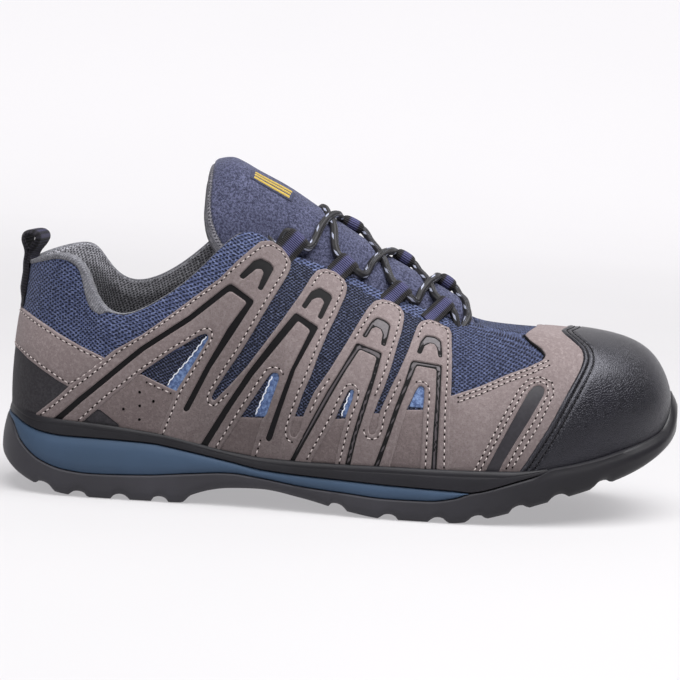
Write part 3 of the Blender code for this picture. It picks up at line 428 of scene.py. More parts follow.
class Finish:
    """A Principled material made up from nodes."""
    def __init__(self, name, colour, rough, specular=0.5, sheen=0.0, coat=0.0, coat_rough=0.2):
        self.mat = bpy.data.materials.new(name)
        self.mat.use_nodes = True
        self.tree = self.mat.node_tree
        self.shader = self.tree.nodes["Principled BSDF"]
        self.set("Base Color", rgb(*colour))
        self.set("Roughness", rough)
        self.set("Specular IOR Level", specular)
        self.set("Sheen Weight", sheen)
        self.set("Coat Weight", coat)
        self.set("Coat Roughness", coat_rough)
        self.coords = self.node("ShaderNodeTexCoord")
        self.height = None

    def set(self, name, value):
        self.shader.inputs[name].default_value = value

    def node(self, kind, **values):
        n = self.tree.nodes.new(kind)
        for k, v in values.items():
            if k in n.inputs:
                n.inputs[k].default_value = v
            else:
                setattr(n, k, v)
        return n

    def link(self, a, b):
        self.tree.links.new(a, b)

    def math(self, op, a, b=None, clamp=False):
        n = self.node("ShaderNodeMath", operation=op, use_clamp=clamp)
        for i, x in enumerate((a, b)):
            if x is None:
                continue
            if isinstance(x, (int, float)):
                n.inputs[i].default_value = x
            else:
                self.link(x, n.inputs[i])
        return n.outputs[0]

    def noise_uv(self, u, v, detail=2.0):
        """Noise over the mesh's own millimetres; u and v already scaled."""
        place = self.node("ShaderNodeCombineXYZ")
        self.link(u, place.inputs[0])
        self.link(v, place.inputs[1])
        n = self.node("ShaderNodeTexNoise", Scale=1.0, Detail=detail, Roughness=0.55)
        self.link(place.outputs[0], n.inputs["Vector"])
        return n.outputs["Fac"]

    def noise(self, scale, detail=3.0, rough=0.55, source="Object"):
        n = self.node("ShaderNodeTexNoise", Scale=scale, Detail=detail, Roughness=rough)
        self.link(self.coords.outputs[source], n.inputs["Vector"])
        return n.outputs["Fac"]

    def mix(self, fac, a, b):
        n = self.node("ShaderNodeMix", data_type="RGBA")
        if isinstance(fac, (int, float)):
            n.inputs[0].default_value = fac
        else:
            self.link(fac, n.inputs[0])
        for socket, x in ((n.inputs[6], a), (n.inputs[7], b)):
            if isinstance(x, tuple):
                socket.default_value = x
            else:
                self.link(x, socket)
        return n.outputs[2]

    def times(self, colour, level):
        n = self.node("ShaderNodeMix", data_type="RGBA", blend_type="MULTIPLY")
        n.inputs[0].default_value = 1.0
        self.link(colour, n.inputs[6])
        self.link(level, n.inputs[7])
        return n.outputs[2]

    def ramp(self, fac, low, high):
        n = self.node("ShaderNodeMapRange", clamp=True)
        n.interpolation_type = "SMOOTHSTEP"
        n.inputs["From Min"].default_value, n.inputs["From Max"].default_value = low, high
        self.link(fac, n.inputs["Value"])
        return n.outputs["Result"]

    def colour(self, value):
        self.link(value, self.shader.inputs["Base Color"])

    def roughness(self, fac, low, high):
        n = self.node("ShaderNodeMapRange", clamp=True)
        n.inputs["To Min"].default_value, n.inputs["To Max"].default_value = low, high
        self.link(fac, n.inputs["Value"])
        self.link(n.outputs["Result"], self.shader.inputs["Roughness"])

    def bump(self, height, strength, distance):
        n = self.node("ShaderNodeBump", Strength=strength, Distance=distance * MM)
        self.link(height, n.inputs["Height"])
        if self.height is not None:
            self.link(self.height, n.inputs["Normal"])
        self.height = n.outputs["Normal"]
        self.link(self.height, self.shader.inputs["Normal"])

    def uv_mm(self):
        """UV coordinates, which the meshes carry in millimetres over 100."""
        sep = self.node("ShaderNodeSeparateXYZ")
        self.link(self.coords.outputs["UV"], sep.inputs[0])
        return self.math("MULTIPLY", sep.outputs[0], 100.0), self.math("MULTIPLY", sep.outputs[1], 100.0)

    def wave(self, x, pitch, phase=0.0):
        """0 to 1 ridges across x."""
        a = self.math("ADD", self.math("MULTIPLY", x, 2 * math.pi / pitch), phase)
        return self.math("ADD", self.math("MULTIPLY", self.math("SINE", a), 0.5), 0.5)


def suede(name, tone, deep, wear_and_highlight):
    """Brushed suede; u of the mesh is the distance from the cut edge, where the nap is rubbed pale by wear and a
    highlight is painted along the rounded edge.
    """
    f = Finish(name, tone, 0.95, specular=0.15, sheen=0.06)
    f.set("Sheen Roughness", 0.55)
    u, _ = f.uv_mm()
    cloud = f.ramp(f.noise(30.0, 4.0), 0.30, 0.70)
    nap = f.noise(640.0, 4.0, 0.65)
    c = f.mix(cloud, rgb(*deep), rgb(*tone))
    c = f.mix(f.math("MULTIPLY", f.ramp(nap, 0.45, 0.66), 0.46), c, rgb(*wear_and_highlight))
    c = f.mix(f.math("MULTIPLY", f.ramp(f.noise(1500.0, 2.0), 0.50, 0.66), 0.48), c, tuple(x * 0.72 for x in rgb(*deep)[:3]) + (1.0,))
    # pale cut edge: partly nap rubbed pale by wear, partly a painted highlight along the rounded edge
    edge = f.math("SUBTRACT", 1.0, f.ramp(u, 0.15, 0.75))
    fray = f.math("MULTIPLY", edge, f.math("ADD", 0.06, f.math("MULTIPLY", f.ramp(f.noise(420.0, 2.0), 0.40, 0.68), 0.30)))
    place = f.node("ShaderNodeSeparateXYZ")
    f.link(f.coords.outputs["Object"], place.inputs[0])
    c = f.mix(fray, c, tuple(min(1.0, x * 1.35) for x in rgb(*wear_and_highlight)[:3]) + (1.0,))
    # painted shade and light: darker low down and by the ankle dip, lighter toward the heel and the front, as the
    # lamps fall on the shoe
    low = f.math("ADD", 0.78, f.math("MULTIPLY", f.ramp(place.outputs[2], 0.030, 0.078), 0.22))
    dip = f.math("MULTIPLY", f.ramp(place.outputs[0], -0.078, -0.055), f.math("SUBTRACT", 1.0, f.ramp(place.outputs[0], -0.030, -0.010)))
    rear = f.math("ADD", f.math("ADD", 0.94, f.math("MULTIPLY", f.ramp(place.outputs[0], -0.020, 0.050), 0.06)), f.math("MULTIPLY", dip, -0.17))
    heel = f.math("MULTIPLY", f.math("SUBTRACT", 1.0, f.ramp(place.outputs[0], -0.135, -0.105)), 0.20)
    f.colour(f.times(c, f.math("MULTIPLY", low, f.math("ADD", rear, heel))))
    f.bump(nap, 0.30, 0.45)
    f.bump(f.noise(2600.0, 2.0, 0.7), 0.35, 0.22)
    return f.mat


def knit(name, yarn, hole, pitch, depth=0.5, open_=0.30, fleck=None, lean=0.0, stray=0.9, shade=None):
    """Spacer mesh: staggered oval holes between the yarns; pitch along and across."""
    f = Finish(name, yarn, 0.86, specular=0.2, sheen=0.06)
    u, v = f.uv_mm()
    wander = f.math("MULTIPLY", f.math("SUBTRACT", f.noise(190.0, 2.0), 0.5), stray)
    u = f.math("ADD", f.math("ADD", u, f.math("MULTIPLY", v, lean)), wander)
    v = f.math("ADD", v, wander)
    dot = f.math("MULTIPLY", f.wave(u, pitch[0]), f.wave(v, pitch[1]))
    dot2 = f.math("MULTIPLY", f.wave(u, pitch[0], math.pi), f.wave(v, pitch[1], math.pi))
    cell = f.math("MAXIMUM", dot, dot2)
    opening = f.ramp(cell, 1 - open_ - 0.28, 1 - open_ + 0.16)
    fray = f.noise(520.0, 3.0)
    tone = f.mix(f.ramp(fray, 0.32, 0.68), tuple(c * 0.72 for c in rgb(*yarn)[:3]) + (1.0,),
                 tuple(min(1.0, c * 1.25) for c in rgb(*yarn)[:3]) + (1.0,))
    if fleck:
        tone = f.mix(f.math("MULTIPLY", f.ramp(f.noise(1300.0, 1.0), 0.55, 0.66), 0.40), tone, rgb(*fleck))
        dash = f.noise_uv(f.math("MULTIPLY", u, 0.75), f.math("MULTIPLY", v, 1.5))
        tone = f.mix(f.math("MULTIPLY", f.ramp(dash, 0.50, 0.66), 0.55), tone, rgb(*fleck))
        tone = f.mix(f.math("MULTIPLY", f.ramp(dash, 0.48, 0.34), 0.75), tone, rgb(*hole))
    c = f.mix(opening, tone, rgb(*hole))
    if shade:             # painted shade and light: cloth darker low down inside the shoe, lighter at the top
        place = f.node("ShaderNodeSeparateXYZ")
        f.link(f.coords.outputs["Object"], place.inputs[0])
        level = f.math("ADD", shade[2], f.math("MULTIPLY", f.ramp(place.outputs[2], shade[0], shade[1]), shade[3] - shade[2]))
        c = f.times(c, level)
    f.colour(c)
    f.bump(f.math("SUBTRACT", 1.0, opening), 0.6, depth)
    f.bump(f.noise(1800.0, 2.0), 0.25, 0.15)
    return f.mat


def rubber(name, tone, light, rough, specular=0.4, toe=None):
    f = Finish(name, tone, rough, specular=specular)
    haze = f.noise(26.0, 4.0)
    c = f.mix(f.ramp(haze, 0.35, 0.7), rgb(*tone), rgb(*light))
    if toe:               # blacker toward the toe
        place = f.node("ShaderNodeSeparateXYZ")
        f.link(f.coords.outputs["Object"], place.inputs[0])
        c = f.mix(f.ramp(place.outputs[0], 0.0, 0.11), c, rgb(*toe))
    f.colour(c)
    if toe:
        gloss = f.math("MULTIPLY", f.ramp(place.outputs[0], 0.10, 0.145), -0.22)
        f.link(f.math("ADD", f.math("ADD", rough - 0.06, f.math("MULTIPLY", f.noise(120.0, 3.0), 0.14)), gloss), f.shader.inputs["Roughness"])
    else:
        f.roughness(f.noise(120.0, 3.0), rough - 0.07, rough + 0.09)
    f.bump(f.noise(1100.0, 2.0), 0.14, 0.12)
    f.bump(f.noise(75.0, 2.0), 0.06, 0.4)
    return f.mat


def leather(name, tone, light):
    f = Finish(name, tone, 0.36, specular=0.62, coat=0.07, coat_rough=0.28)
    f.set("Specular Tint", (0.88, 0.88, 1.0, 1.0))
    cells = f.node("ShaderNodeTexVoronoi", Scale=1050.0, feature="DISTANCE_TO_EDGE")
    f.link(f.coords.outputs["Object"], cells.inputs["Vector"])
    grain = f.ramp(cells.outputs["Distance"], 0.0, 0.20)
    c = f.mix(f.ramp(f.noise(60.0, 4.0), 0.35, 0.7), rgb(*tone), rgb(*light))
    f.colour(f.mix(f.math("MULTIPLY", f.math("SUBTRACT", 1.0, grain), 0.70), c, tuple(x * 0.35 for x in rgb(*tone)[:3]) + (1.0,)))
    f.roughness(f.noise(300.0, 3.0), 0.30, 0.41)
    f.bump(grain, 0.45, 0.16)
    f.bump(f.noise(240.0, 4.0), 0.18, 0.30)
    return f.mat


def webbing(name, tone, edge, rib, half_width, band=(0.30, 0.66)):
    """Ribbed tape: ribs along u, dark bands at both sides by v."""
    f = Finish(name, tone, 0.80, specular=0.2, sheen=0.06)
    u, v = f.uv_mm()
    ridge = f.wave(u, rib)
    warp = f.wave(v, 0.55)
    near_edge = f.ramp(f.math("ABSOLUTE", v), half_width * band[0], half_width * band[1])
    c = f.mix(near_edge, rgb(*tone), rgb(*edge))
    valley = f.mix(near_edge, tuple(x * 0.22 for x in rgb(*tone)[:3]) + (1.0,), tuple(x * 0.35 for x in rgb(*edge)[:3]) + (1.0,))
    f.colour(f.mix(f.ramp(ridge, 0.25, 0.75), valley, c))
    f.bump(f.math("ADD", ridge, f.math("MULTIPLY", warp, 0.3)), 0.6, 0.30)
    return f.mat


def plain_cloth(name, tone, alt, grain, strength, depth, rough=0.9, sheen=0.2):
    f = Finish(name, tone, rough, specular=0.2, sheen=sheen)
    f.set("Sheen Roughness", 0.5)
    fuzz = f.noise(grain, 4.0, 0.75)
    c = f.mix(f.ramp(fuzz, 0.38, 0.64), rgb(*alt), rgb(*tone))
    c = f.mix(f.math("MULTIPLY", f.ramp(f.noise(34.0, 3.0), 0.35, 0.7), 0.35), c, rgb(*alt))
    f.colour(c)
    f.bump(fuzz, strength, depth)
    return f.mat


def film(name, tone, rough, specular=0.5, outline=False):
    """Welded rubbery film of the printed bars."""
    f = Finish(name, tone, rough, specular=specular)
    n = f.noise(700.0, 3.0)
    light = tuple(min(1.0, c * 1.5) for c in rgb(*tone)[:3]) + (1.0,)
    c = f.mix(f.math("MULTIPLY", f.ramp(n, 0.35, 0.75), 0.6), rgb(*tone), light)
    if outline:           # painted shade: dull dark line along the cut edge, where the recess wall shades the film
        u, _ = f.uv_mm()
        edge = f.math("SUBTRACT", 1.0, f.ramp(u, 0.70, 1.15))
        c = f.mix(edge, c, rgb(10, 9, 11))
        f.link(f.math("ADD", rough, f.math("MULTIPLY", edge, 0.9 - rough)), f.shader.inputs["Roughness"])
    else:
        f.roughness(n, rough - 0.06, rough + 0.12)
    f.colour(c)
    f.bump(n, 0.15, 0.10)
    return f.mat


def thread(name, tone):
    f = Finish(name, tone, 0.75, specular=0.3)
    n = f.noise(2400.0, 2.0)
    f.colour(f.mix(f.math("MULTIPLY", f.ramp(n, 0.4, 0.7), 0.45), rgb(*tone), tuple(c * 0.55 for c in rgb(*tone)[:3]) + (1.0,)))
    f.bump(n, 0.3, 0.1)
    return f.mat


SUEDE = suede("suede", (133, 121, 121), (122, 110, 110), (155, 144, 144))
SUEDE_LOW = suede("suede_low", (124, 112, 112), (114, 102, 102), (144, 132, 132))
NAVY_MESH = knit("navy_mesh", (72, 81, 115), (20, 24, 41), (2.9, 1.8), 0.5, 0.38, (124, 134, 168), stray=1.3)
NAVY_VAMP = knit("navy_vamp", (58, 65, 92), (19, 22, 39), (2.3, 1.8), 0.5, 0.38, (98, 108, 143), stray=0.8)
# darker navy for the mesh sunk between the suede panels: painted shade
NAVY_SHADED = knit("navy_painted_shade", (48, 53, 75), (11, 13, 22), (2.0, 1.5), 0.4, 0.50, (104, 112, 142), stray=1.4)
# the lining's darker lower part and lighter top are painted shade and light
LINING = knit("collar_lining", (122, 121, 127), (58, 58, 62), (1.7, 2.1), 0.6, 0.36, (160, 160, 167), lean=-0.45, shade=(0.082, 0.103, 0.62, 1.30))
BINDING = knit("collar_binding", (117, 117, 123), (72, 72, 78), (1.2, 1.0), 0.3, 0.30, (150, 150, 157), lean=0.6)
COUNTER = plain_cloth("counter_nubuck", (57, 55, 59), (44, 42, 46), 900.0, 0.3, 0.25, 0.82, 0.05)
FILM = film("black_film", (18, 17, 19), 0.50, 0.12)
# a lighter copy of the black film for chevrons and arches 3 and 4: painted reflection of the top light
FILM_PAINTED_SHEEN = film("black_film_painted_reflection", (76, 70, 74), 0.42, 0.34, outline=True)
BAR_FILM = film("bar_film", (43, 41, 46), 0.44, 0.36)
CAP_LEATHER = leather("cap_leather", (13, 12, 18), (20, 19, 27))
OUTSOLE = rubber("outsole_rubber", (53, 52, 57), (61, 60, 66), 0.54, 0.28, toe=(31, 30, 34))
RAND = rubber("rand_rubber", (27, 26, 30), (33, 32, 37), 0.50, 0.28)
WEDGE = rubber("wedge_foam", (57, 75, 97), (62, 81, 105), 0.62, 0.25)
BLUE = plain_cloth("window_blue", (114, 136, 176), (60, 77, 116), 620.0, 0.3, 0.2, 0.6, 0.05)
WHITE_CORD = thread("white_piping", (228, 231, 240))
THREAD = thread("light_thread", (194, 183, 181))
THREAD_DARK = thread("dark_thread", (26, 25, 29))
# near-black cups of the needle holes: painted shade inside the holes
NEEDLE_SHADE = film("needle_hole_painted_shade", (14, 12, 12), 0.90, 0.02)
NEEDLE_SHADE_SOFT = film("needle_soft_painted_shade", (27, 23, 23), 0.90, 0.02)
TONGUE_FELT = plain_cloth("tongue_felt", (98, 101, 129), (44, 46, 66), 1050.0, 0.9, 0.5, 0.95, 0.12)
TONGUE_LINING = knit("tongue_lining", (112, 111, 118), (58, 57, 64), (1.7, 1.5), 0.5, 0.34, (144, 143, 150))
INSOLE_CLOTH = plain_cloth("insole_cloth", (70, 70, 76), (52, 52, 58), 800.0, 0.4, 0.3, 0.95, 0.05)
LABEL_BASE = plain_cloth("label_cloth", (74, 77, 98), (52, 54, 72), 1500.0, 0.4, 0.15, 0.8, 0.05)
LABEL_YARN = thread("label_yarn", (186, 160, 78))
# near-black tube under the wing's edge: painted shadow
SHADOW_LINE = film("painted_shadow_line", (15, 14, 16), 0.70, 0.15)


# ============================================================ meshes
def make(name, verts, faces, mats, index=None, uv=None, sharp=55.0):
    """Object from arrays; verts in millimetres; uv for each vertex, in millimetres."""
    mesh = bpy.data.meshes.new(name)
    mesh.from_pydata((np.asarray(verts) * MM).tolist(), [], [tuple(int(i) for i in f) for f in faces])
    for m in (mats if isinstance(mats, (list, tuple)) else [mats]):
        mesh.materials.append(m)
    if index is not None:
        mesh.polygons.foreach_set("material_index", np.asarray(index, np.int32))
    if uv is not None:
        layer = mesh.uv_layers.new(name="mm")
        corner = np.empty(len(mesh.loops), np.int32)
        mesh.loops.foreach_get("vertex_index", corner)
        layer.data.foreach_set("uv", (np.asarray(uv, float)[corner] / 100.0).astype(np.float32).ravel())
    mesh.shade_smooth()
    if sharp:
        mesh.set_sharp_from_angle(angle=math.radians(sharp))
    ob = bpy.data.objects.new(name, mesh)
    bpy.context.scene.collection.objects.link(ob)
    return ob


def piece(ob, slot, *nodes):
    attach(ob, "root")
    if nodes:
        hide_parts(*nodes)
    return ob


def quads(rows, cols, close_rows=False, close_cols=False):
    i = np.arange(rows if close_rows else rows - 1)
    j = np.arange(cols if close_cols else cols - 1)
    i, j = np.meshgrid(i, j, indexing="ij")
    a, b, k = i * cols, (i + 1) % rows * cols, (j + 1) % cols
    return np.stack([a + j, a + k, b + k, b + j], -1).reshape(-1, 4)


class Store:
    """Many small shapes gathered into one mesh."""
    def __init__(self):
        self.v, self.f, self.m, self.n = [], [], [], 0

    def add(self, verts, faces, mat=0):
        """verts: copies x points x 3, faces for one copy."""
        verts = np.asarray(verts, float)
        if not len(verts):
            return
        k, p = verts.shape[:2]
        start = self.n + np.arange(k) * p
        for f in faces:
            f = np.asarray(f)
            self.f.extend((start[:, None] + f[None, :]).tolist())
            self.m.extend([mat] * k)
        self.v.append(verts.reshape(-1, 3))
        self.n += k * p

    def make(self, name, mats, sharp=None):
        return make(name, np.concatenate(self.v), self.f, mats, self.m, sharp=sharp)


# ============================================================ flat charts of the upper, for cutting panels
def flat_side(sv):
    return np.column_stack([sv[:, 0] * PERIMETER, sv[:, 1] * 92.0])


def flat_toe(sv):
    s, v = sv[:, 0], np.clip(sv[:, 1], 0, 1)
    steps = np.linspace(0, 1, 13)
    vv = v[:, None] + (1 - v)[:, None] * steps[None, :]
    p = upper_point(np.broadcast_to(s[:, None], vv.shape), vv)
    r = np.linalg.norm(np.diff(p, axis=1), axis=2).sum(1)
    row = closed_spline(KNOTS, ROWS, s)
    angle = np.arctan2(row[:, 1], row[:, 0] - 40.0)
    return (r + 12.0)[:, None] * np.column_stack([np.cos(angle), np.sin(angle)])


def move(sv, vec, flat):
    """Chart points moved by vec millimetres in the flat chart."""
    e = 3e-4
    fs = (flat(sv + [e, 0]) - flat(sv - [e, 0])) / (2 * e)
    up = np.where(sv[:, 1] > 0.5, -e, e)
    fv = (flat(sv + np.column_stack([0 * up, up])) - flat(sv)) / up[:, None]
    det = fs[:, 0] * fv[:, 1] - fs[:, 1] * fv[:, 0]
    ds = (vec[:, 0] * fv[:, 1] - vec[:, 1] * fv[:, 0]) / det
    dv = (fs[:, 0] * vec[:, 1] - fs[:, 1] * vec[:, 0]) / det
    return sv + np.column_stack([ds, dv])


def inside(p, loops):
    """Even-odd test of points against closed loops."""
    hit = np.zeros(len(p), bool)
    for q in loops:
        a, b = q, np.roll(q, -1, axis=0)
        for k in range(0, len(p), 4000):
            x, y = p[k:k + 4000, 0:1], p[k:k + 4000, 1:2]
            cross = (a[None, :, 1] > y) != (b[None, :, 1] > y)
            with np.errstate(divide="ignore", invalid="ignore"):
                at = a[None, :, 0] + (y - a[None, :, 1]) / (b - a)[None, :, 1] * (b - a)[None, :, 0]
            hit[k:k + 4000] ^= ((cross & (x < at)).sum(1) % 2).astype(bool)
    return hit


def edge_distance(p, loops):
    best = np.full(len(p), 1e9)
    for q in loops:
        a, d = q, np.roll(q, -1, axis=0) - q
        l2 = np.maximum((d**2).sum(1), 1e-12)
        for k in range(0, len(p), 3000):
            w = p[k:k + 3000, None, :] - a[None]
            t = np.clip((w * d[None]).sum(2) / l2[None], 0, 1)
            r = np.linalg.norm(w - t[..., None] * d[None], axis=2)
            best[k:k + 3000] = np.minimum(best[k:k + 3000], r.min(1))
    return best


def inward(q, loops):
    """Unit normals of a closed flat loop, pointing into the region."""
    t = np.roll(q, -1, axis=0) - np.roll(q, 1, axis=0)
    t /= np.maximum(np.linalg.norm(t, axis=1), 1e-9)[:, None]
    n = np.column_stack([-t[:, 1], t[:, 0]])
    test = inside(q + n * 0.05, loops)
    return n if test.mean() > 0.5 else -n


class Panel:
    """A region of the upper's chart cut into triangles, denser along its edge."""
    def __init__(self, outline, holes=(), flat=flat_side, step=1.5, rings=(0.35, 0.9, 1.7), edge_step=0.9):
        self.flat = flat
        self.loops_sv, self.loops = [], []
        for sv in (outline, *holes):
            sv = np.asarray(sv, float)
            q = flat(sv)
            both = resample(np.column_stack([q, sv]), edge_step, True)
            self.loops_sv.append(both[:, 2:])
            self.loops.append(flat(both[:, 2:]))
        pts_sv = list(self.loops_sv)
        for sv, q in zip(self.loops_sv, self.loops):
            n = inward(q, self.loops)
            for d in rings:
                c = move(sv, n * d, flat)
                pts_sv.append(self._keep(c, 0.9 * d))
        sv0 = np.concatenate(self.loops_sv)
        s_lo, s_hi, v_lo, v_hi = sv0[:, 0].min(), sv0[:, 0].max(), sv0[:, 1].min(), sv0[:, 1].max()
        fill, k = [], 0
        s_mid = 0.5 * (s_lo + s_hi)
        tall = np.linalg.norm(np.diff(upper_point(np.full(41, s_mid), np.linspace(v_lo, v_hi, 41)), axis=0), axis=1).sum()
        for v in np.linspace(v_lo, v_hi, max(3, int(tall / (0.87 * step)))):
            trial = np.linspace(s_lo, s_hi, 160)
            f = flat(np.column_stack([trial, np.full(160, v)]))
            t = np.concatenate([[0], np.cumsum(np.linalg.norm(np.diff(f, axis=0), axis=1))])
            at = np.arange(0.25 * step + 0.5 * step * (k % 2), t[-1], step)
            k += 1
            fill.append(np.column_stack([np.interp(at, t, trial), np.full(len(at), v)]))
        pts_sv.append(self._keep(np.concatenate(fill), (rings[-1] if rings else 0.3) + 0.45 * step))
        sv = np.concatenate([p for p in pts_sv if len(p)])
        q = flat(sv)
        edges, o = [], 0
        for l in self.loops:
            edges += [(o + i, o + (i + 1) % len(l)) for i in range(len(l))]
            o += len(l)
        out = delaunay_2d_cdt([Vector(p) for p in q], edges, [], 0, 1e-5)
        flat_out = np.array([p[:] for p in out[0]])
        origin = np.array([o[0] if o else -1 for o in out[3]])
        tri = np.array(out[2], int)
        keep = inside(flat_out[tri].mean(1), self.loops)
        tri = tri[keep]
        a, b, c = (flat_out[tri[:, k]] for k in range(3))
        area = (b - a)[:, 0] * (c - a)[:, 1] - (b - a)[:, 1] * (c - a)[:, 0]
        tri = tri[np.abs(area) > 1e-7]
        area = area[np.abs(area) > 1e-7]
        new_sv = np.zeros((len(flat_out), 2))
        known = origin >= 0
        new_sv[known] = sv[origin[known]]
        for i in np.flatnonzero(~known):
            new_sv[i] = sv[np.argmin(((q - flat_out[i])**2).sum(1))]
        used = np.unique(tri)
        index = np.full(len(flat_out), -1)
        index[used] = np.arange(len(used))
        self.tri = index[tri]
        self.sv = new_sv[used]
        self.dist = edge_distance(flat_out[used], self.loops)
        normal = upper_normal(self.sv[:, 0], self.sv[:, 1])
        p = upper_point(self.sv[:, 0], self.sv[:, 1])
        a, b, c = (p[self.tri[:, k]] for k in range(3))
        out_n = np.cross(b - a, c - a)
        flip = (out_n * normal[self.tri[:, 0]]).sum(1) < 0
        self.tri[flip] = self.tri[flip][:, ::-1]
        e = np.concatenate([self.tri[:, [0, 1]], self.tri[:, [1, 2]], self.tri[:, [2, 0]]])
        key = np.sort(e, 1)
        _, first, count = np.unique(key, axis=0, return_index=True, return_counts=True)
        self.rim = e[first[count == 1]]

    def _keep(self, sv, d):
        sv = sv[(sv[:, 1] >= 0) & (sv[:, 1] <= 1)]
        if not len(sv):
            return sv
        q = self.flat(sv)
        ok = inside(q, self.loops)
        sv, q = sv[ok], q[ok]
        if not len(sv):
            return sv
        return sv[edge_distance(q, self.loops) >= d]

    def away(self, which, sv=None):
        """Distance of chart points from some of the loops, from all for which None."""
        q = self.flat(self.sv if sv is None else sv)
        return edge_distance(q, self.loops if which is None else [self.loops[i] for i in which])

    def inset(self, d, which=0, closed=True):
        """Runs of chart points at distance d inside the edge of one loop."""
        sv, q = self.loops_sv[which], self.loops[which]
        c = move(sv, inward(q, self.loops) * d, self.flat)
        fc = self.flat(c)
        ok = inside(fc, self.loops) & (edge_distance(fc, self.loops) >= 0.96 * d) & (c[:, 1] < 0.995)
        ok &= c[:, 1] > rim_v(c[:, 0]) + 0.004
        if ok.all():
            return [np.concatenate([c, c[:1]])]
        start = int(np.flatnonzero(~ok)[0])
        c, ok = np.roll(c, -start, axis=0), np.roll(ok, -start)
        runs, run = [], []
        for p, good in zip(c, ok):
            if good:
                run.append(p)
            elif run:
                runs.append(np.array(run))
                run = []
        if run:
            runs.append(np.array(run))
        return [r for r in runs if len(r) > 3]


def grow(sv, d, flat=flat_side):
    """A closed outline moved outward by d."""
    q = flat(sv)
    return move(sv, -inward(q, [q]) * d, flat)


def other_side(sv):
    return np.column_stack([1 - sv[:, 0] * MIRROR, sv[:, 1]])


def edge_profile(height, radius=0.8, grooves=(), dome=0.0):
    """Height of a panel over the distance from its edge: rounded edge, sewn grooves, a slight dome."""
    def h(d):
        k = np.clip(d / radius, 0, 1)
        y = height * (0.35 + 0.65 * np.sqrt(np.clip(1 - (1 - k)**2, 0, 1)))
        for at, depth, width in grooves:
            y = y - depth * bump_at(d, at, width)
        return y + dome * smooth(1.0, 6.0, d)
    return h


def raise_panel(name, panel, profile, mat, lift=0.0, sink=0.25, sides=(False, True), cut=None):
    """Closed patch standing on the upper, on the lateral side and mirrored on the medial side."""
    h = profile(panel.dist) if callable(profile) else np.full(len(panel.dist), profile)
    base = lift(panel.sv) if callable(lift) else lift
    verts, faces = [], []
    n = len(panel.sv)
    for medial in sides:
        sv = other_side(panel.sv) if medial else panel.sv
        top = skin(sv[:, 0], sv[:, 1], base + h)
        low = skin(sv[:, 0], sv[:, 1], base - sink)
        o = sum(len(v) for v in verts)
        verts += [top, low]
        t, r = panel.tri, panel.rim
        side = np.column_stack([r[:, 1], r[:, 0], r[:, 0] + n, r[:, 1] + n])
        under = t[:, ::-1] + n
        for f in (t, under, side):
            faces += ((f[:, ::-1] if medial else f) + o).tolist()
    wear_and_highlight = np.column_stack([panel.dist if cut is None else panel.away(cut), panel.sv[:, 0] * PERIMETER])
    return make(name, np.concatenate(verts), faces, mat, uv=np.tile(wear_and_highlight, (len(verts), 1)), sharp=50.0)


# stitches: a short arched thread for each, and a needle hole at each end, painted dark as shade
SIX = np.linspace(0, 2 * np.pi, 6, endpoint=False)
FIVE = np.linspace(0, 2 * np.pi, 5, endpoint=False)
_u = np.array([-0.5, -0.30, 0.0, 0.30, 0.5])
_h = np.array([-0.30, 0.04, 0.12, 0.04, -0.30])
_r = np.array([0.10, 0.22, 0.25, 0.22, 0.10])
STITCH_FACES = [tuple(f) for f in quads(5, 5, close_cols=True)] + [(4, 3, 2, 1, 0), (20, 21, 22, 23, 24)]


def along_skin(sv, lift):
    p = skin(sv[:, 0], sv[:, 1], lift)
    n = upper_normal(sv[:, 0], sv[:, 1])
    return p, n


def row_points(p, n, pitch):
    t = np.concatenate([[0], np.cumsum(np.linalg.norm(np.diff(p, axis=0), axis=1))])
    k = int(t[-1] / pitch)
    if k < 1:
        return None
    at = (np.arange(k) + 0.5) * (t[-1] / k)
    ends = np.arange(k + 1) * (t[-1] / k)

    def take(x, a):
        return np.column_stack([np.interp(a, t, x[:, i]) for i in range(3)])
    d = take(p, at + 0.4) - take(p, at - 0.4)
    d /= np.maximum(np.linalg.norm(d, axis=1), 1e-9)[:, None]
    return take(p, at), d, take(n, at), take(p, ends), take(n, ends)


def sew(store, p, n, pitch=2.7, length=1.7, thick=1.2, hole=0.43, thread_mat=0, hole_mat=1, raise_=0.12):
    got = row_points(p, n, pitch)
    if got is None:
        return
    c, d, nn, e, en = got
    nn = nn / np.linalg.norm(nn, axis=1)[:, None]
    b = np.cross(nn, d)
    ring = (c[:, None, None] + d[:, None, None] * (_u * length)[None, :, None, None]
            + nn[:, None, None] * (_h * thick + raise_)[None, :, None, None]
            + b[:, None, None] * (_r * thick)[None, :, None, None] * np.cos(FIVE)[None, None, :, None]
            + nn[:, None, None] * (_r * thick)[None, :, None, None] * np.sin(FIVE)[None, None, :, None])
    store.add(ring.reshape(len(c), -1, 3), STITCH_FACES, thread_mat)
    if hole:
        pits(store, e, en, hole, hole_mat)


def pits(store, e, en, radius, mat=1, high=0.13):
    """Needle holes: shallow cups set in the surface, painted dark as the shade inside a hole."""
    en = en / np.linalg.norm(en, axis=1)[:, None]
    x = np.cross(en, np.array([0.0, 0.3, 1.0]))
    x /= np.linalg.norm(x, axis=1)[:, None]
    y = np.cross(en, x)
    circle = e[:, None] + radius * (np.cos(SIX)[None, :, None] * x[:, None] + np.sin(SIX)[None, :, None] * y[:, None]) + en[:, None] * high
    mid = (e - en * 0.02 + en * high)[:, None]
    low = e[:, None] + 0.8 * (circle - e[:, None]) - en[:, None] * 0.35
    faces = [(6, i, (i + 1) % 6) for i in range(6)] + [(i, 7 + i, 7 + (i + 1) % 6, (i + 1) % 6) for i in range(6)] + [tuple(range(12, 6, -1))]
    store.add(np.concatenate([circle, mid, low], axis=1), faces, mat)


def sew_runs(store, runs, lift, **kw):
    for sv in runs:
        for medial in (False, True):
            c = other_side(sv) if medial else sv
            p, n = along_skin(c, lift(sv) if callable(lift) else lift)
            sew(store, p, n, **kw)


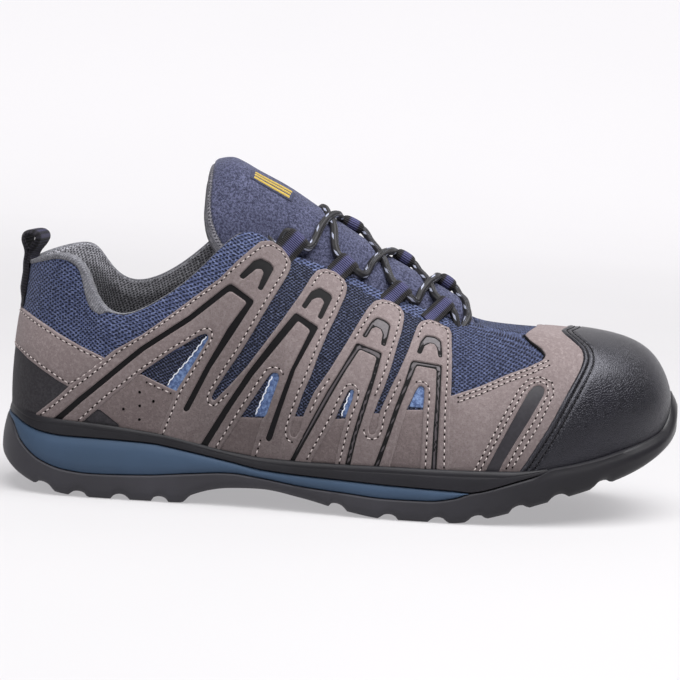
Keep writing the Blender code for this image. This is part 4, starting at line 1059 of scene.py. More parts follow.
def tube(p, radius, sides=8, up=(0, 0, 1.0), taper=0.0):
    """Vertices and faces of a closed tube along points."""
    run = np.gradient(p, axis=0)
    run /= np.maximum(np.linalg.norm(run, axis=1), 1e-9)[:, None]
    nrm = np.zeros_like(run)
    n0 = np.cross(run[0], up)
    nrm[0] = n0 / np.linalg.norm(n0)
    for i in range(1, len(p)):
        n0 = nrm[i - 1] - run[i] * (nrm[i - 1] @ run[i])
        nrm[i] = n0 / np.linalg.norm(n0)
    b = np.cross(run, nrm)
    a = np.linspace(0, 2 * np.pi, sides, endpoint=False)
    r = np.broadcast_to(np.asarray(radius, float), (len(p),))[:, None, None]
    ring = p[:, None] + r * (np.cos(a)[None, :, None] * nrm[:, None] + np.sin(a)[None, :, None] * b[:, None])
    faces = [tuple(f) for f in quads(len(p), sides, close_cols=True)]
    faces += [tuple(range(sides))[::-1], tuple((len(p) - 1) * sides + i for i in range(sides))]
    return ring.reshape(-1, 3), faces


# ============================================================ upper: mesh shell, lining and rim
US = np.linspace(0, 1, 460, endpoint=False)
UV = np.linspace(0, 1, 62)
s2, v2 = np.meshgrid(US, UV, indexing="ij")
face_out = skin(s2, v2)
wide = wall(US, np.ones_like(US))
top_out = face_out[:, -1]
top_in = upper_point(US, np.ones_like(US)) - upper_normal(US, np.ones_like(US)) * wide[:, None]
rise = upper_point(US, np.ones_like(US)) - upper_point(US, np.full_like(US, 0.985))
rise /= np.linalg.norm(rise, axis=1)[:, None]


CREST = 0.30


def crest(a, extra=0.0):
    """Points over the top edge: a 0 on the outer face to pi on the inner face."""
    mid, half = 0.5 * (top_out + top_in), 0.5 * (top_out - top_in)
    grow = 1 + extra / np.linalg.norm(half, axis=1)[:, None]
    return mid + half * np.cos(a) * grow + rise * (CREST * np.linalg.norm(half, axis=1)[:, None] + extra) * np.sin(a)


over_edge = np.stack([crest(a) for a in np.linspace(0, np.pi, 9)[1:-1]], axis=1)
IV = np.linspace(1, 0, 42)
si, vi = np.meshgrid(US, IV, indexing="ij")
quilt = 0.35 * np.sin(np.pi * np.clip((vi - 0.35) / 0.6, 0, 1)) * np.sin(lateral_s(si) * PERIMETER / 4.2) * collar_zone(si)
face_in = upper_point(si, vi) - upper_normal(si, vi) * (wall(si, vi) - quilt * smooth(1.0, 0.9, vi))[..., None]
face_in[:, -1, 2] = face_out[:, 0, 2]
grid = np.concatenate([face_out, over_edge, face_in], axis=1)
count = grid.shape[1]
# weave: along the shoe by x, round the heel by girth; across by the length in the cross-section
turn_s = np.linspace(0, 0.14, 80)
turn_p = upper_point(turn_s, np.full(80, 0.7))
turn_len = np.concatenate([[0], np.cumsum(np.linalg.norm(np.diff(turn_p, axis=0), axis=1))]) - (turn_p[:, 0] - turn_p[0, 0])
arc = np.concatenate([np.zeros((len(US), 1)), np.cumsum(np.linalg.norm(np.diff(grid[..., 1:], axis=1), axis=2), axis=1)], axis=1)
within = len(UV) + over_edge.shape[1]
arc[:, within:] = arc[:, -1:] - arc[:, within:]          # the lining is measured from the bottom up
uv = np.stack([grid[..., 0] + np.interp(lateral_s(US), turn_s, turn_len)[:, None], arc], -1).reshape(-1, 2)
faces = quads(len(US), count, True, True)
col = np.tile(np.arange(count), len(US))
at_throat = np.repeat(lateral_s(US) > knot("eyestay_top") - 0.004, count)
index = np.where(col < len(UV) - 1 + np.where(at_throat, 8, 3), 0, 1)
# mesh in the gaps between the side panels takes the darker navy: painted shade
SHADED_GAPS_PX = np.array([(289, 262), (345, 283), (403, 312), (452, 334), (452, 475), (100, 425), (140, 372), (209, 333), (232, 320), (255, 300), (262, 280)], float)
shown = to_pixels(upper_point(lateral_s(s2), v2)).reshape(-1, 2)
zone = np.zeros((len(US), count), int)
zone[:, :len(UV)] = np.where(inside(shown, [SHADED_GAPS_PX]), 3, np.where(shown[:, 0] > 448, 2, 0)).reshape(len(US), len(UV))
index = np.where(index == 0, zone.ravel(), index)
upper = make("upper_shell", grid.reshape(-1, 3), faces, [NAVY_MESH, LINING, NAVY_VAMP, NAVY_SHADED], index, uv, sharp=None)
piece(upper, "suede_and_mesh", "upper")


def chart_v(s, pixel_y):
    """Height on section s at which the photograph shows row pixel_y."""
    v = np.linspace(0, 1, 401)
    y = to_pixels(upper_point(np.full_like(v, s), v))[:, 1]
    return float(np.interp(-pixel_y, -y, v))


def ridge_v(pixel_x):
    """Height on the toe's centre line at which the photograph shows column pixel_x."""
    v = np.linspace(0.3, 1, 401)
    x = to_pixels(upper_point(np.full_like(v, S_TOE), v))[:, 0]
    return float(np.interp(-pixel_x, -x, v))


def under(s0, s1, share=0.55, n=60):
    """Hidden lower edge of a panel, behind the rand."""
    s = np.linspace(s0, s1, n)
    return np.column_stack([s, rim_v(s) * share])


def across_heel(path):
    back = path[::-1].copy()
    back[:, 0] *= -MIRROR
    return np.concatenate([path, back[1:-1]])


def across_toe(path):
    back = path[::-1].copy()
    back[:, 0] = 1 - back[:, 0] * MIRROR
    return np.concatenate([path, back[1:-1]])


# ============================================================ binding of the collar
low_edge = line((35.3, 263), (56.7, 258.9), (67, 260.2), (73.6, 263.7), (78.4, 268), (81.2, 273), (83.2, 282), (85.4, 293.6), (88, 303.5), (91.6, 310),
                (97, 313.6), (103.4, 315.4), (115.6, 315.6), (140, 312), (150, 307.4), (171.4, 296.5), (190, 285), corner=7.0)
order = np.argsort(low_edge[:, 0])
BIND_S, BIND_V = low_edge[order, 0], low_edge[order, 1]
END_S = knot("eyestay_top") - 0.004
bs = np.concatenate([np.linspace(-END_S * MIRROR, 0, 190, endpoint=False), np.linspace(0, END_S, 190)])
side = np.where(bs < 0, -bs / MIRROR, bs)
one = np.ones_like(bs)
US_keep = (top_out, top_in, rise)
top_out = skin(bs, one)
top_in = upper_point(bs, one) - upper_normal(bs, one) * wall(bs, one)[:, None]
rise = upper_point(bs, one) - upper_point(bs, 0.985 * one)
tall_v = np.linalg.norm(rise, axis=1) / 0.015
rise /= np.linalg.norm(rise, axis=1)[:, None]
half_w = 0.5 * np.linalg.norm(top_out - top_in, axis=1)
# lower edge as a length from the top line: below it on the outside at the ear, over the roll further on
ear_end, thin_from = on_upper([(99.0, 313.5), (121.0, 314.5)])[:, 0]
ear = -(1 - np.interp(side, BIND_S, BIND_V)) * tall_v
ear = np.where(side < BIND_S[0], ear * (0.35 + 0.65 * smooth(0, BIND_S[0], side)), ear)
for _ in range(6):
    ear[1:-1] = 0.25 * ear[:-2] + 0.5 * ear[1:-1] + 0.25 * ear[2:]
k = smooth(ear_end, thin_from, side)
start = ear * (1 - k) + (0.55 * half_w) * k
finish = 0.46 * np.pi * half_w


def over_roll(length, lift):
    """Points at a length past the top line: outer face, over the roll, inner face."""
    a = np.clip(length / (0.80 * half_w), 0, np.pi)
    mid, half = 0.5 * (top_out + top_in), 0.5 * (top_out - top_in)
    hump = mid + half * (np.cos(a) * (1 + lift / half_w))[:, None] + rise * ((CREST * half_w + lift) * np.sin(a))[:, None]
    below = skin(bs, 1 + np.minimum(length, 0) / tall_v, lift)
    inner_v = 1 - np.maximum(length - 0.80 * np.pi * half_w, 0) / tall_v
    within = upper_point(bs, inner_v) - upper_normal(bs, inner_v) * (wall(bs, inner_v) + lift)[:, None]
    out_ = np.where((length < 0)[:, None], below, hump)
    return np.where((length > 0.80 * np.pi * half_w)[:, None], within, out_)


rows = []
for t, h in zip((0.0, 0.04, 0.10, 0.18, 0.26, 0.34, 0.42, 0.50, 0.58, 0.66, 0.74, 0.82, 0.90, 0.96, 1.0),
                (-0.2, 0.30, 0.46, 0.52, 0.52, 0.48, 0.46, 0.44, 0.42, 0.40, 0.38, 0.36, 0.34, 0.28, -0.2)):
    rows.append(over_roll(start + (finish - start) * t, h * one))
strip = np.stack(rows, 1)
arc = np.concatenate([np.zeros((len(bs), 1)), np.cumsum(np.linalg.norm(np.diff(strip, axis=1), axis=2), axis=1)], axis=1)
run_len = np.concatenate([[0], np.cumsum(np.linalg.norm(np.diff(strip[:, 6], axis=0), axis=1))])
uvb = np.stack([np.broadcast_to(run_len[:, None], arc.shape), arc], -1).reshape(-1, 2)
nb, cb = strip.shape[:2]
faces = [tuple(f) for f in quads(nb, cb, close_cols=True)] + [tuple(range(cb))[::-1], tuple((nb - 1) * cb + i for i in range(cb))]
binding = make("collar_binding", strip.reshape(-1, 3), faces, BINDING, uv=uvb, sharp=60.0)
piece(binding, "suede_and_mesh")
top_out, top_in, rise = US_keep

# ============================================================ suede panels of the side
SIDE = line(
    (37, 412.9), (57, 397), (68.6, 386.4), (85.7, 372.9), (102.9, 359.3), (114.3, 350), (142.9, 334.3), (171.4, 314.3), (195, 296.7),
    (220, 278.3), (236.7, 261.7), (250, 250), (260, 241.7), (270, 240.8), (280, 246.7), (286.7, 255), (290.8, 262.5), (290, 270),
    (286.7, 276.7), (270, 303.3), (253.3, 331.7), (240, 353.3), (225, 375), (214.2, 391.7), (211.4, 398), (214, 401), (218, 397),
    (230, 385), (246.7, 366.7), (263.3, 345), (283.3, 318.3), (300, 295), (311, 277.5), (317, 270.7), (324.3, 268.9), (335.7, 272.9),
    (344.3, 280.7), (347, 287), (345.7, 295), (337, 315), (327, 335), (318.6, 355), (310.7, 376.4), (302.9, 393.6), (296, 413), (290.5, 430),
    (291, 436), (296, 437), (300, 430), (304, 414), (314.3, 392), (330, 369.3), (347, 342), (357, 325), (367, 309.3), (374.3, 301.4), (381.4, 300),
    (390, 302), (400, 307.9), (404, 315), (403.6, 320.7), (401.4, 332), (397, 346.4), (391.4, 366.4), (385.7, 383.6), (378.6, 400.7),
    (374.5, 411), (369, 428), (369.5, 434), (374, 434.5), (377, 428), (380, 411), (382.9, 405), (391.4, 386.4), (400, 369.3), (408.6, 349.3), (417, 326.4), (420.7, 322),
    (428.6, 320.4), (438.6, 323.6), (448.6, 328.6), (451.4, 334.3), (452, 355), (451.4, 383.6), (450, 412), (449.3, 469.3), corner=3.0)
SEAM = line((157, 436), (173.6, 397), (177.5, 389), (191.7, 366.7), (209, 338), (207, 333.5), (200, 335), (190, 341.4), (171.4, 352),
            (142.9, 371.4), (125.7, 385.7), (111.4, 397), (100, 407), (81.4, 422.9), corner=3.0)
quarter_outline = np.concatenate([SIDE, under(SIDE[-1, 0], SEAM[0, 0]), SEAM, under(SEAM[-1, 0], SIDE[0, 0], n=20)])


def slot(left, tip, right):
    """Opening of a window and of the inset strip below it, down behind the rand."""
    path = line(*left, *tip, *right, corner=2.5)
    return np.concatenate([path, under(path[-1, 0], path[0, 0], 0.72, 14)])


SLOT_2 = slot(((220.8, 448.3), (243.3, 413.3), (256.7, 393.3), (269, 375.5)), ((272.5, 372.5), (278.3, 373.3), (279.2, 378.3)),
              ((266.7, 414.2), (261.5, 420), (250.8, 455)))
SLOT_3 = slot(((312, 460), (335.7, 417.9), (340.7, 406.4), (347, 393.6)), ((350, 389.3), (354.3, 390), (352.5, 399.3)),
              ((346.4, 415), (335, 460.7)))
SLOT_4 = slot(((390.7, 464.3), (407, 408.6), (410.7, 402), (415.7, 390.7)), ((420, 385.7), (424.3, 387.9), (424, 400)),
              ((423, 408.6), (420, 467.9)))
# outlines of the film bars let into the suede
CHEVRON_1 = loop((54.5, 418.5), (78, 398), (98.5, 381.5), (127, 358), (141.5, 346.5), (188.5, 316.5), (226, 287), (230.8, 284.2), (236, 287.5),
                 (253.3, 300.8), (253.3, 303), (235, 331.7), (210.8, 368.3), (189, 410), (186, 411.5), (183.3, 409.2), (205, 368.3),
                 (228.3, 328.3), (246.7, 303.3), (245.5, 301.2), (232, 291.5), (228.5, 292), (191.5, 320.7), (144.3, 350.7), (130.2, 362),
                 (101.5, 385.7), (81.5, 402), (59.5, 421.5), (55, 424), (50, 421), corner=2.0)
CHEVRON_2 = loop((199, 447.5), (225, 406.7), (250, 370), (273.3, 340), (293.3, 315.8), (295.8, 313.3), (317.9, 327.5), (317.5, 329), (295, 370),
                 (280, 413.3), (272, 438.5), (269.5, 441.5), (265.8, 439), (276.7, 408.3), (290, 371.7), (310, 331.7), (308.5, 329), (298.8, 321.5),
                 (297.5, 321.5), (276.7, 346.7), (253.3, 375), (231.7, 406.7), (205, 450), corner=2.0)
CHEVRON_3 = loop((289, 463), (301.4, 439.3), (314.3, 415), (327, 392), (341.4, 369.3), (355.7, 345), (357, 343.6), (381.4, 353.6), (381.4, 355),
                 (377, 372), (371.4, 390.7), (364.3, 413.6), (357, 436.4), (350, 466), (345, 466), (351.4, 439.3), (358.6, 415), (364.3, 397.9),
                 (371.4, 377.9), (376.5, 359), (375, 356.7), (361, 350.2), (359, 350.5), (345.7, 370.7), (331.4, 395), (318.6, 417.9), (305.7, 440.7),
                 (293, 464), corner=2.0)
CHEVRON_4 = loop((373, 469), (385.7, 435), (394.3, 409.3), (404.3, 383.6), (410.7, 363.6), (412.9, 361.4), (441.4, 366.4), (441.4, 368), (440, 397.9),
                 (438.6, 426.4), (436, 474), (431, 474), (433.6, 426.4), (435.7, 397.9), (436.4, 371), (435, 369.5), (417.5, 366.2), (415.7, 367.5),
                 (409.3, 383.6), (400, 406.4), (390, 435), (378, 469), corner=2.0)
ARCH_1 = loop((239, 276.7), (253.3, 261.7), (260.8, 259.2), (270, 264.2), (273.3, 269.2), (261.7, 290.8), (257.5, 289), (263.5, 273.5), (261.5, 269.2),
              (255.8, 269.2), (243.3, 279.6), corner=2.0)
ARCH_2 = loop((301.4, 307), (311.4, 292), (320, 288.6), (330, 295), (331.8, 299), (321.4, 319.8), (317.4, 317.9), (324.3, 302.9), (321.4, 298.6),
              (317, 297.9), (312, 300), (305.3, 309.3), corner=2.0)
ARCH_3 = loop((362, 337), (371.4, 322), (377, 318.3), (385.7, 322), (390, 326.4), (387.9, 336.4), (385, 346.9), (380.7, 345.3), (382.6, 335),
              (380.7, 330), (375.7, 327.4), (371.4, 329), (366.2, 338.2), corner=2.0)
ARCH_4 = loop((416.4, 353.6), (420.7, 342), (425.7, 336.4), (434.3, 337.9), (440.7, 342), (441.9, 358.2), (438.4, 358.2), (437, 349.3), (434.3, 345),
              (429.3, 343.9), (424.3, 346.4), (420.7, 354.8), corner=2.0)
BAR = loop((483, 476), (496.7, 450), (513.3, 420), (528.3, 393.3), (533.3, 387.5), (539.2, 385.8), (544.2, 389.2), (543.3, 395), (530, 418.3),
           (513.3, 445), (501.7, 464.2), (496, 477), corner=2.0)
PANEL_H = 1.15
FILMS = (("chevron_1", CHEVRON_1), ("chevron_2", CHEVRON_2), ("chevron_3", CHEVRON_3), ("chevron_4", CHEVRON_4),
         ("arch_1", ARCH_1), ("arch_2", ARCH_2), ("arch_3", ARCH_3), ("arch_4", ARCH_4))
quarter = Panel(quarter_outline, (SLOT_2, SLOT_3, SLOT_4) + tuple(ring for _, ring in FILMS), step=1.6, rings=(0.3, 0.7, 1.2, 1.7, 2.1, 2.5))
side_profile = edge_profile(PANEL_H, 0.7, [], 0.12)


def quarter_height(sv=None):
    return side_profile(quarter.away(None, sv)) - 0.22 * bump_at(quarter.away(range(4), sv), 2.1, 0.55)


ob = raise_panel("quarter_panels", quarter, quarter_height(), SUEDE, cut=range(4))
piece(ob, "suede_and_mesh")

STITCH = Store()          # light thread and needle holes of the suede
sew_runs(STITCH, quarter.inset(2.1), quarter_height, pitch=2.75)
for which in (1, 2, 3):
    sew_runs(STITCH, quarter.inset(2.1, which), quarter_height, pitch=2.75)

# inset strips under the windows, and the rear lower panel
low_profile = edge_profile(0.55, 0.5, [], 0.05)
for name, ring in (("inset_strip_2", loop((240, 417), (268, 418), (256, 459), (214, 452))),
                   ("inset_strip_3", loop((332, 419), (350, 418.5), (340, 465), (306, 464))),
                   ("inset_strip_4", loop((404, 410), (426, 410), (424, 472), (386, 468))),
                   ("gap_strip_2", loop((292, 416.5), (308, 416.5), (303, 440), (286, 440))),
                   ("gap_strip_3", loop((370, 413.5), (384, 413.5), (380, 437), (364, 437)))):
    piece(raise_panel(name, Panel(ring, step=1.8, rings=(0.4,)), low_profile, SUEDE_LOW), "suede_and_mesh")
rear_path = line((118.6, 424.3), (100, 409.5), (92, 409), (110, 393), (140, 373.5), (157, 382), (177, 391), (182, 396), (164, 440), corner=3.0)
rear_low = Panel(np.concatenate([rear_path, under(rear_path[-1, 0], rear_path[0, 0], n=20)]), step=1.6)
piece(raise_panel("rear_lower_panel", rear_low, edge_profile(0.75, 0.6, [], 0.08), SUEDE_LOW), "suede_and_mesh")
sew_runs(STITCH, [line((147, 382), (160, 388), (171, 393))], 0.80, pitch=2.9)
black_path = line((78, 424), (95, 409), (103, 411), (122, 427))
black_corner = Panel(np.concatenate([black_path, under(black_path[-1, 0], black_path[0, 0], n=12)]), step=1.8, rings=(0.4,))
piece(raise_panel("rear_black_corner", black_corner, edge_profile(0.45, 0.5), COUNTER), "suede_and_mesh")

# ============================================================ heel strap and counter
strap_low = line((16.6, 345.7), (28.6, 358.6), (42.9, 370), (57, 380), (70, 387.5), (84, 381), (110, 361.5), (103, 357), corner=3.0)
strap_top = line((103, 357), (80, 345.7), (60, 334.3), (40, 320.7), (25.7, 310), (20.5, 305), corner=3.0)
strap_path = np.concatenate([[[0.0, chart_v(0.0, 342.0)]], strap_low, strap_top[1:], [[0.0, chart_v(0.0, 301.5)]]])
heel_strap = Panel(across_heel(strap_path), step=1.6, rings=(0.35, 0.8, 1.3, 1.9, 2.5))
strap_profile = edge_profile(0.95, 0.8, [(1.9, 0.2, 0.5)], 0.12)
piece(raise_panel("heel_strap", heel_strap, strap_profile, SUEDE, sides=(False,)), "suede_and_mesh")
runs = heel_strap.inset(1.9)
for sv in runs:
    p, n = along_skin(sv, strap_profile(heel_strap.away(None, sv)))
    sew(STITCH, p, n, pitch=2.9)
counter_top = line((16.6, 343), (28.6, 356), (42.9, 367.5), (57, 378), (72, 387), (60, 400), (42, 416), corner=3.0)
counter_path = np.concatenate([[[0.0, chart_v(0.0, 339.5)]], counter_top, under(counter_top[-1, 0], 0.0, n=30)])
counter = Panel(across_heel(counter_path), step=1.8)
piece(raise_panel("heel_counter", counter, edge_profile(0.65, 0.6), COUNTER, sides=(False,)), "suede_and_mesh")

# ============================================================ front quarter
FRONT_H = 1.0
mesh_edge = line((535.8, 328.2), (530, 331.7), (524.5, 335.8), (530, 341.7), (541.7, 350), (545.5, 356), (543, 360.5), (530, 366.7),
                 (505, 375.8), (480, 386.7), (447, 397.5), (445, 430), (444, 469), corner=3.0)
cap_rows = np.array(CAP_EDGE)
hidden = np.column_stack([S_TOE - np.maximum(cap_rows[:, 0] - 0.005, 0.0), cap_rows[:, 1] - 0.035 - 0.05 * (1 - smooth(0.03, 0.06, cap_rows[:, 0]))])
hidden[0, 1] = 0.04
front_path = np.concatenate([[[S_TOE, ridge_v(536.5)]], mesh_edge, under(mesh_edge[-1, 0], hidden[0, 0], 0.6, 40), hidden])
front_ring = across_toe(front_path)
hid = np.arange(len(front_ring)) >= len(front_path)
far_s, far_v = np.meshgrid(np.linspace(S_TOE - 0.2, S_TOE, 160), np.linspace(0.2, 1, 160), indexing="ij")
far_px = to_pixels(upper_point(far_s, far_v)).reshape(-1, 2)
far_x = np.arange(460.0, 600.0, 2.0)
far_y = np.array([far_px[np.abs(far_px[:, 0] - c) < 2.5, 1].min() for c in far_x])
for i in np.flatnonzero(hid):                        # the far edge stays behind the ridge
    drop = np.linspace(front_ring[i, 1], 0.2, 200)
    q = to_pixels(upper_point(np.full(200, front_ring[i, 0]), drop))
    fits = (q[:, 0] > 538.0) | (q[:, 1] > np.interp(q[:, 0], far_x, far_y) + 3.0)
    front_ring[i, 1] = drop[np.argmax(fits)] if fits.any() else front_ring[i, 1]
front = Panel(front_ring, (BAR, other_side(BAR)), flat=flat_toe, step=1.6, rings=(0.35, 0.9, 1.5, 2.1))
front_profile = edge_profile(FRONT_H, 0.7, [], 0.1)


def front_height(sv=None):
    edge_row, bar_row = front.away((0,), sv), front.away((1, 2), sv)
    return (front_profile(front.away(None, sv)) - 0.18 * bump_at(edge_row, 1.9, 0.5) - 0.18 * bump_at(edge_row, 4.0, 0.5)
            - 0.15 * bump_at(bar_row, 1.9, 0.5) - 0.15 * bump_at(bar_row, 4.0, 0.5))


piece(raise_panel("front_quarter", front, front_height(), SUEDE, sides=(False,), cut=(0,)), "suede_and_mesh")
visible_edge = line((548, 362), (530, 370.2), (505, 379.5), (480, 390.4), (458, 398), corner=3.0)
second_edge = line((549, 366.5), (530, 375), (505, 384), (480, 395), (458, 402.5), corner=3.0)
sew_runs(STITCH, [visible_edge, second_edge], front_height, pitch=2.7)
wing = Store()            # painted shadow: dark tube along the wing's edge over the mesh, where the edge shades the mesh
sv = line((523.8, 336.0), (529.3, 342.2), (540.6, 350.6), (544.6, 356.2), (543.4, 359.5), corner=3.0)
for medial in (False, True):
    p, _ = along_skin(other_side(sv) if medial else sv, 0.45)
    v, f = tube(p, 0.62 * np.sin(np.linspace(0.35, np.pi - 0.35, len(p)))**0.5, 8)
    wing.add(v[None], f)
piece(wing.make("wing_painted_shadow_line", [SHADOW_LINE]), "suede_and_mesh")

# ============================================================ black film: chevrons, arches and the bar
for name, ring in FILMS:
    film_panel = Panel(grow(ring, 0.35), step=1.3, rings=(), edge_step=0.8)
    # chevrons and arches 3 and 4 take the lighter copy of the film: painted reflection
    piece(raise_panel(name, film_panel, 0.52, FILM_PAINTED_SHEEN if name[-1] in "34" else FILM), "suede_and_mesh")
bar = Panel(grow(BAR, 0.35, flat_toe), flat=flat_toe, step=1.3, rings=())
piece(raise_panel("front_bar", bar, 0.45, BAR_FILM), "suede_and_mesh")
sew_runs(STITCH, [line((478, 473), (492, 448), (508.5, 418), (523.5, 392), (531, 384.5), (539, 382.3), (547, 385.5), (548, 394), (534, 421), (517, 448),
                       (506, 468), corner=3.0),
                  line((473, 472), (487, 447), (503.5, 416.5), (519, 390), (528, 380.5), (540, 378), (551.5, 383), (553.5, 394), (539, 424), (522, 451),
                       (512, 467), corner=3.0)], front_height, pitch=2.7)

# ============================================================ windows: blue cloth and white zigzag piping
for name, ring in (("window_blue_1", loop((206.5, 336), (190.5, 358), (173, 377), (165, 388), (178, 396), (196, 368), (213, 339), (210, 334))),
                   ("window_blue_2", loop((270.5, 375), (263, 395), (254, 416), (268, 417), (281, 379), (277, 371))),
                   ("window_blue_3", loop((347, 398), (342, 417), (348, 418), (356, 392), (352, 388))),
                   ("window_blue_4", loop((420, 384), (414, 395), (409, 407), (425, 408), (426, 388)))):
    piece(raise_panel(name, Panel(ring, step=1.2, rings=(0.4,)), edge_profile(0.32, 0.4), BLUE), "suede_and_mesh")
zig = Store()
for px in (((206.5, 336.5), (190, 358), (172.9, 377), (167.5, 385)), ((272, 376.5), (264, 395), (255.5, 414)), ((349.5, 393), (341.5, 416))):
    sv = line(*px, corner=6.0)
    for medial in (False, True):
        c = other_side(sv) if medial else sv
        p, n = along_skin(c, 0.45)
        p = resample(np.column_stack([p, n]), 0.45)
        p, n = p[:, :3], p[:, 3:]
        run = np.gradient(p, axis=0)
        run /= np.linalg.norm(run, axis=1)[:, None]
        side_way = np.cross(n, run)
        p = p + side_way * (0.17 * np.sign(np.sin(np.arange(len(p)) * 0.45 * 2 * np.pi / 3.2)))[:, None]
        v, f = tube(p, 0.28, 6)
        zig.add(v[None], f)
piece(zig.make("window_piping", [WHITE_CORD]), "suede_and_mesh")

# ============================================================ perforations
PERF = Store()
# perforations: shallow cups painted near black, painted shade inside the holes
holes = on_upper([(140, 391.9), (153.7, 400.9), (140, 405.4), (123.7, 408.6), (139.7, 419)])
for medial in (False, True):
    c = other_side(holes) if medial else holes
    p, n = along_skin(c, 0.83)
    pits(PERF, p, n, 0.66, 0)
piece(PERF.make("perforations", [NEEDLE_SHADE]), "suede_and_mesh")

# ============================================================ toe cap
CAP_H = 1.75
cap_side = np.column_stack([S_TOE - cap_rows[:, 0], cap_rows[:, 1]])
cap_curve = open_curve(np.arange(len(cap_side), dtype=float), cap_side, np.linspace(0, len(cap_side) - 1, 120))
cap_curve = np.concatenate([[[cap_curve[0, 0] - 0.004, 0.03]], cap_curve])
far_side = cap_side.copy()                              # the far half of the edge runs a little further forward at the ridge
far_side[-4:, 1] = (0.662, 0.712, 0.745, cap_side[-1, 1])
far_curve = open_curve(np.arange(len(far_side), dtype=float), far_side, np.linspace(0, len(far_side) - 1, 120))
far_curve = np.concatenate([cap_curve[:1], far_curve])
cap_ring = np.concatenate([cap_curve, np.column_stack([1 - far_curve[::-1, 0] * MIRROR, far_curve[::-1, 1]])[1:]])
cap_low = under(cap_ring[-1, 0], cap_ring[0, 0], 0.7, 90)
cap = Panel(np.concatenate([cap_ring, cap_low[1:-1]]), flat=flat_toe, step=1.5, rings=(0.35, 0.8, 1.3, 1.8, 2.3, 2.8, 3.4, 4.0, 4.6, 5.2, 5.9))
cap_edge = edge_profile(CAP_H, 1.1, [], 0.2)


CAP_REAR = resample(upper_point(cap_ring[:, 0], cap_ring[:, 1]), 0.4)


def from_rear(sv):
    """Distance from the cap's rear edge, over the shoe."""
    q = upper_point(sv[:, 0], sv[:, 1])
    return np.concatenate([np.linalg.norm(CAP_REAR[None] - q[k:k + 500, None], axis=2).min(1) for k in range(0, len(q), 500)])


def cap_profile(sv=None):
    """Rolled rear edge and two sewn grooves along it."""
    d = from_rear(cap.sv if sv is None else sv)
    q = upper_point(*(cap.sv if sv is None else sv).T)
    full = 2.4 * smooth(112.0, 138.0, q[:, 0]) * np.exp(-((q[:, 2] - 50.0) / 14.0)**2)
    return cap_edge(d) + full + 0.22 * bump_at(d, 1.1, 0.6) - 0.5 * bump_at(d, 2.3, 0.55) - 0.5 * bump_at(d, 4.6, 0.55)


ob = raise_panel("toe_cap_leather", cap, cap_profile(), CAP_LEATHER, sides=(False,))
piece(ob, "cap_leather", "toe_cap")
CAP_SEW = Store()
for d in (2.3, 4.6):
    edge_sv = cap_ring[1:-1]
    way = inward(flat_toe(np.concatenate([cap_ring, cap_low[1:-1]])), cap.loops)[1:len(cap_ring) - 1]
    reach_ = np.full(len(edge_sv), d)
    for _ in range(4):
        sv = move(edge_sv, way * reach_[:, None], flat_toe)
        reach_ = np.clip(reach_ * d / np.maximum(from_rear(sv), 0.3), 0.3 * d, 2.5 * d)
    sv = sv[(sv[:, 1] > rim_v(sv[:, 0]) + 0.01) & (np.abs(from_rear(sv) - d) < 0.25)]
    p, n = along_skin(sv, cap_profile(sv) + 0.02)
    jump = np.flatnonzero(np.linalg.norm(np.diff(p, axis=0), axis=1) > 6.0)
    for part in np.split(np.arange(len(p)), jump + 1):
        if len(part) > 4:
            sew(CAP_SEW, p[part], n[part], pitch=2.5, length=1.7, thick=1.1, hole=0.40)
piece(CAP_SEW.make("toe_cap_stitches", [THREAD_DARK, NEEDLE_SHADE]), "cap_leather")
piece(STITCH.make("upper_stitches", [THREAD, NEEDLE_SHADE_SOFT]), "suede_and_mesh")

# ============================================================ sole
notches = np.array(HEEL_NOTCHES + FORE_NOTCHES)


def lug_notch(x):
    t = np.abs(x[:, None] - notches[None, :]).min(axis=1) / LUG_HALF_WIDTH
    return LUG_DEPTH * np.sqrt(np.clip(1 - t**2, 0, 1))


class Wall:
    """Outer wall of the sole at perimeter positions s."""
    def __init__(self, s):
        self.s = np.asarray(s, float)
        low, _, self.out, _ = last_frame(self.s)
        self.low = low
        self.edge = low[:, :2] + self.out * sole("margin", low[:, 0])[:, None]
        self.x = self.edge[:, 0]
        tread = self.edge - self.out * TREAD_INSET
        self.bottom = np.maximum(sole("bottom", tread[:, 0]), 0.0)
        self.notch = lug_notch(low[:, 0])
        self.rim_in = RIM_INSET + (HEEL_RIM_INSET - RIM_INSET) * (1 - smooth(-142.0, -120.0, low[:, 0])) + 1.9 * smooth(110.0, 140.0, low[:, 0])
        self.rim = sole("rim", (self.edge - self.out * self.rim_in[:, None])[:, 0])
        self.split = sole("wedge_low", self.x)
        self.wedge = np.maximum(sole("wedge_top", self.x), self.split + 0.02)

    def at(self, z, push=0.0):
        z = np.broadcast_to(np.asarray(z, float), self.s.shape)
        k = np.clip((z - self.bottom - self.notch) / 3.4, 0, 1)
        inset = TREAD_INSET * (1 - k)**2
        share = 0.55 - 0.35 * (1 - smooth(-144.0, -120.0, self.low[:, 0]))
        mid = (1 - share) * (self.bottom + 3) + share * self.rim
        inset = inset + self.rim_in * np.clip((z - mid) / np.maximum(self.rim - mid, 0.5), 0, 1)**1.6
        return np.column_stack([self.edge - self.out * (inset - push)[:, None], z])

    def cup(self, share, gap=0.25):
        v = rim_v(self.s) * share
        return upper_point(self.s, v) + np.column_stack([self.out * gap, np.zeros(len(self.s))])


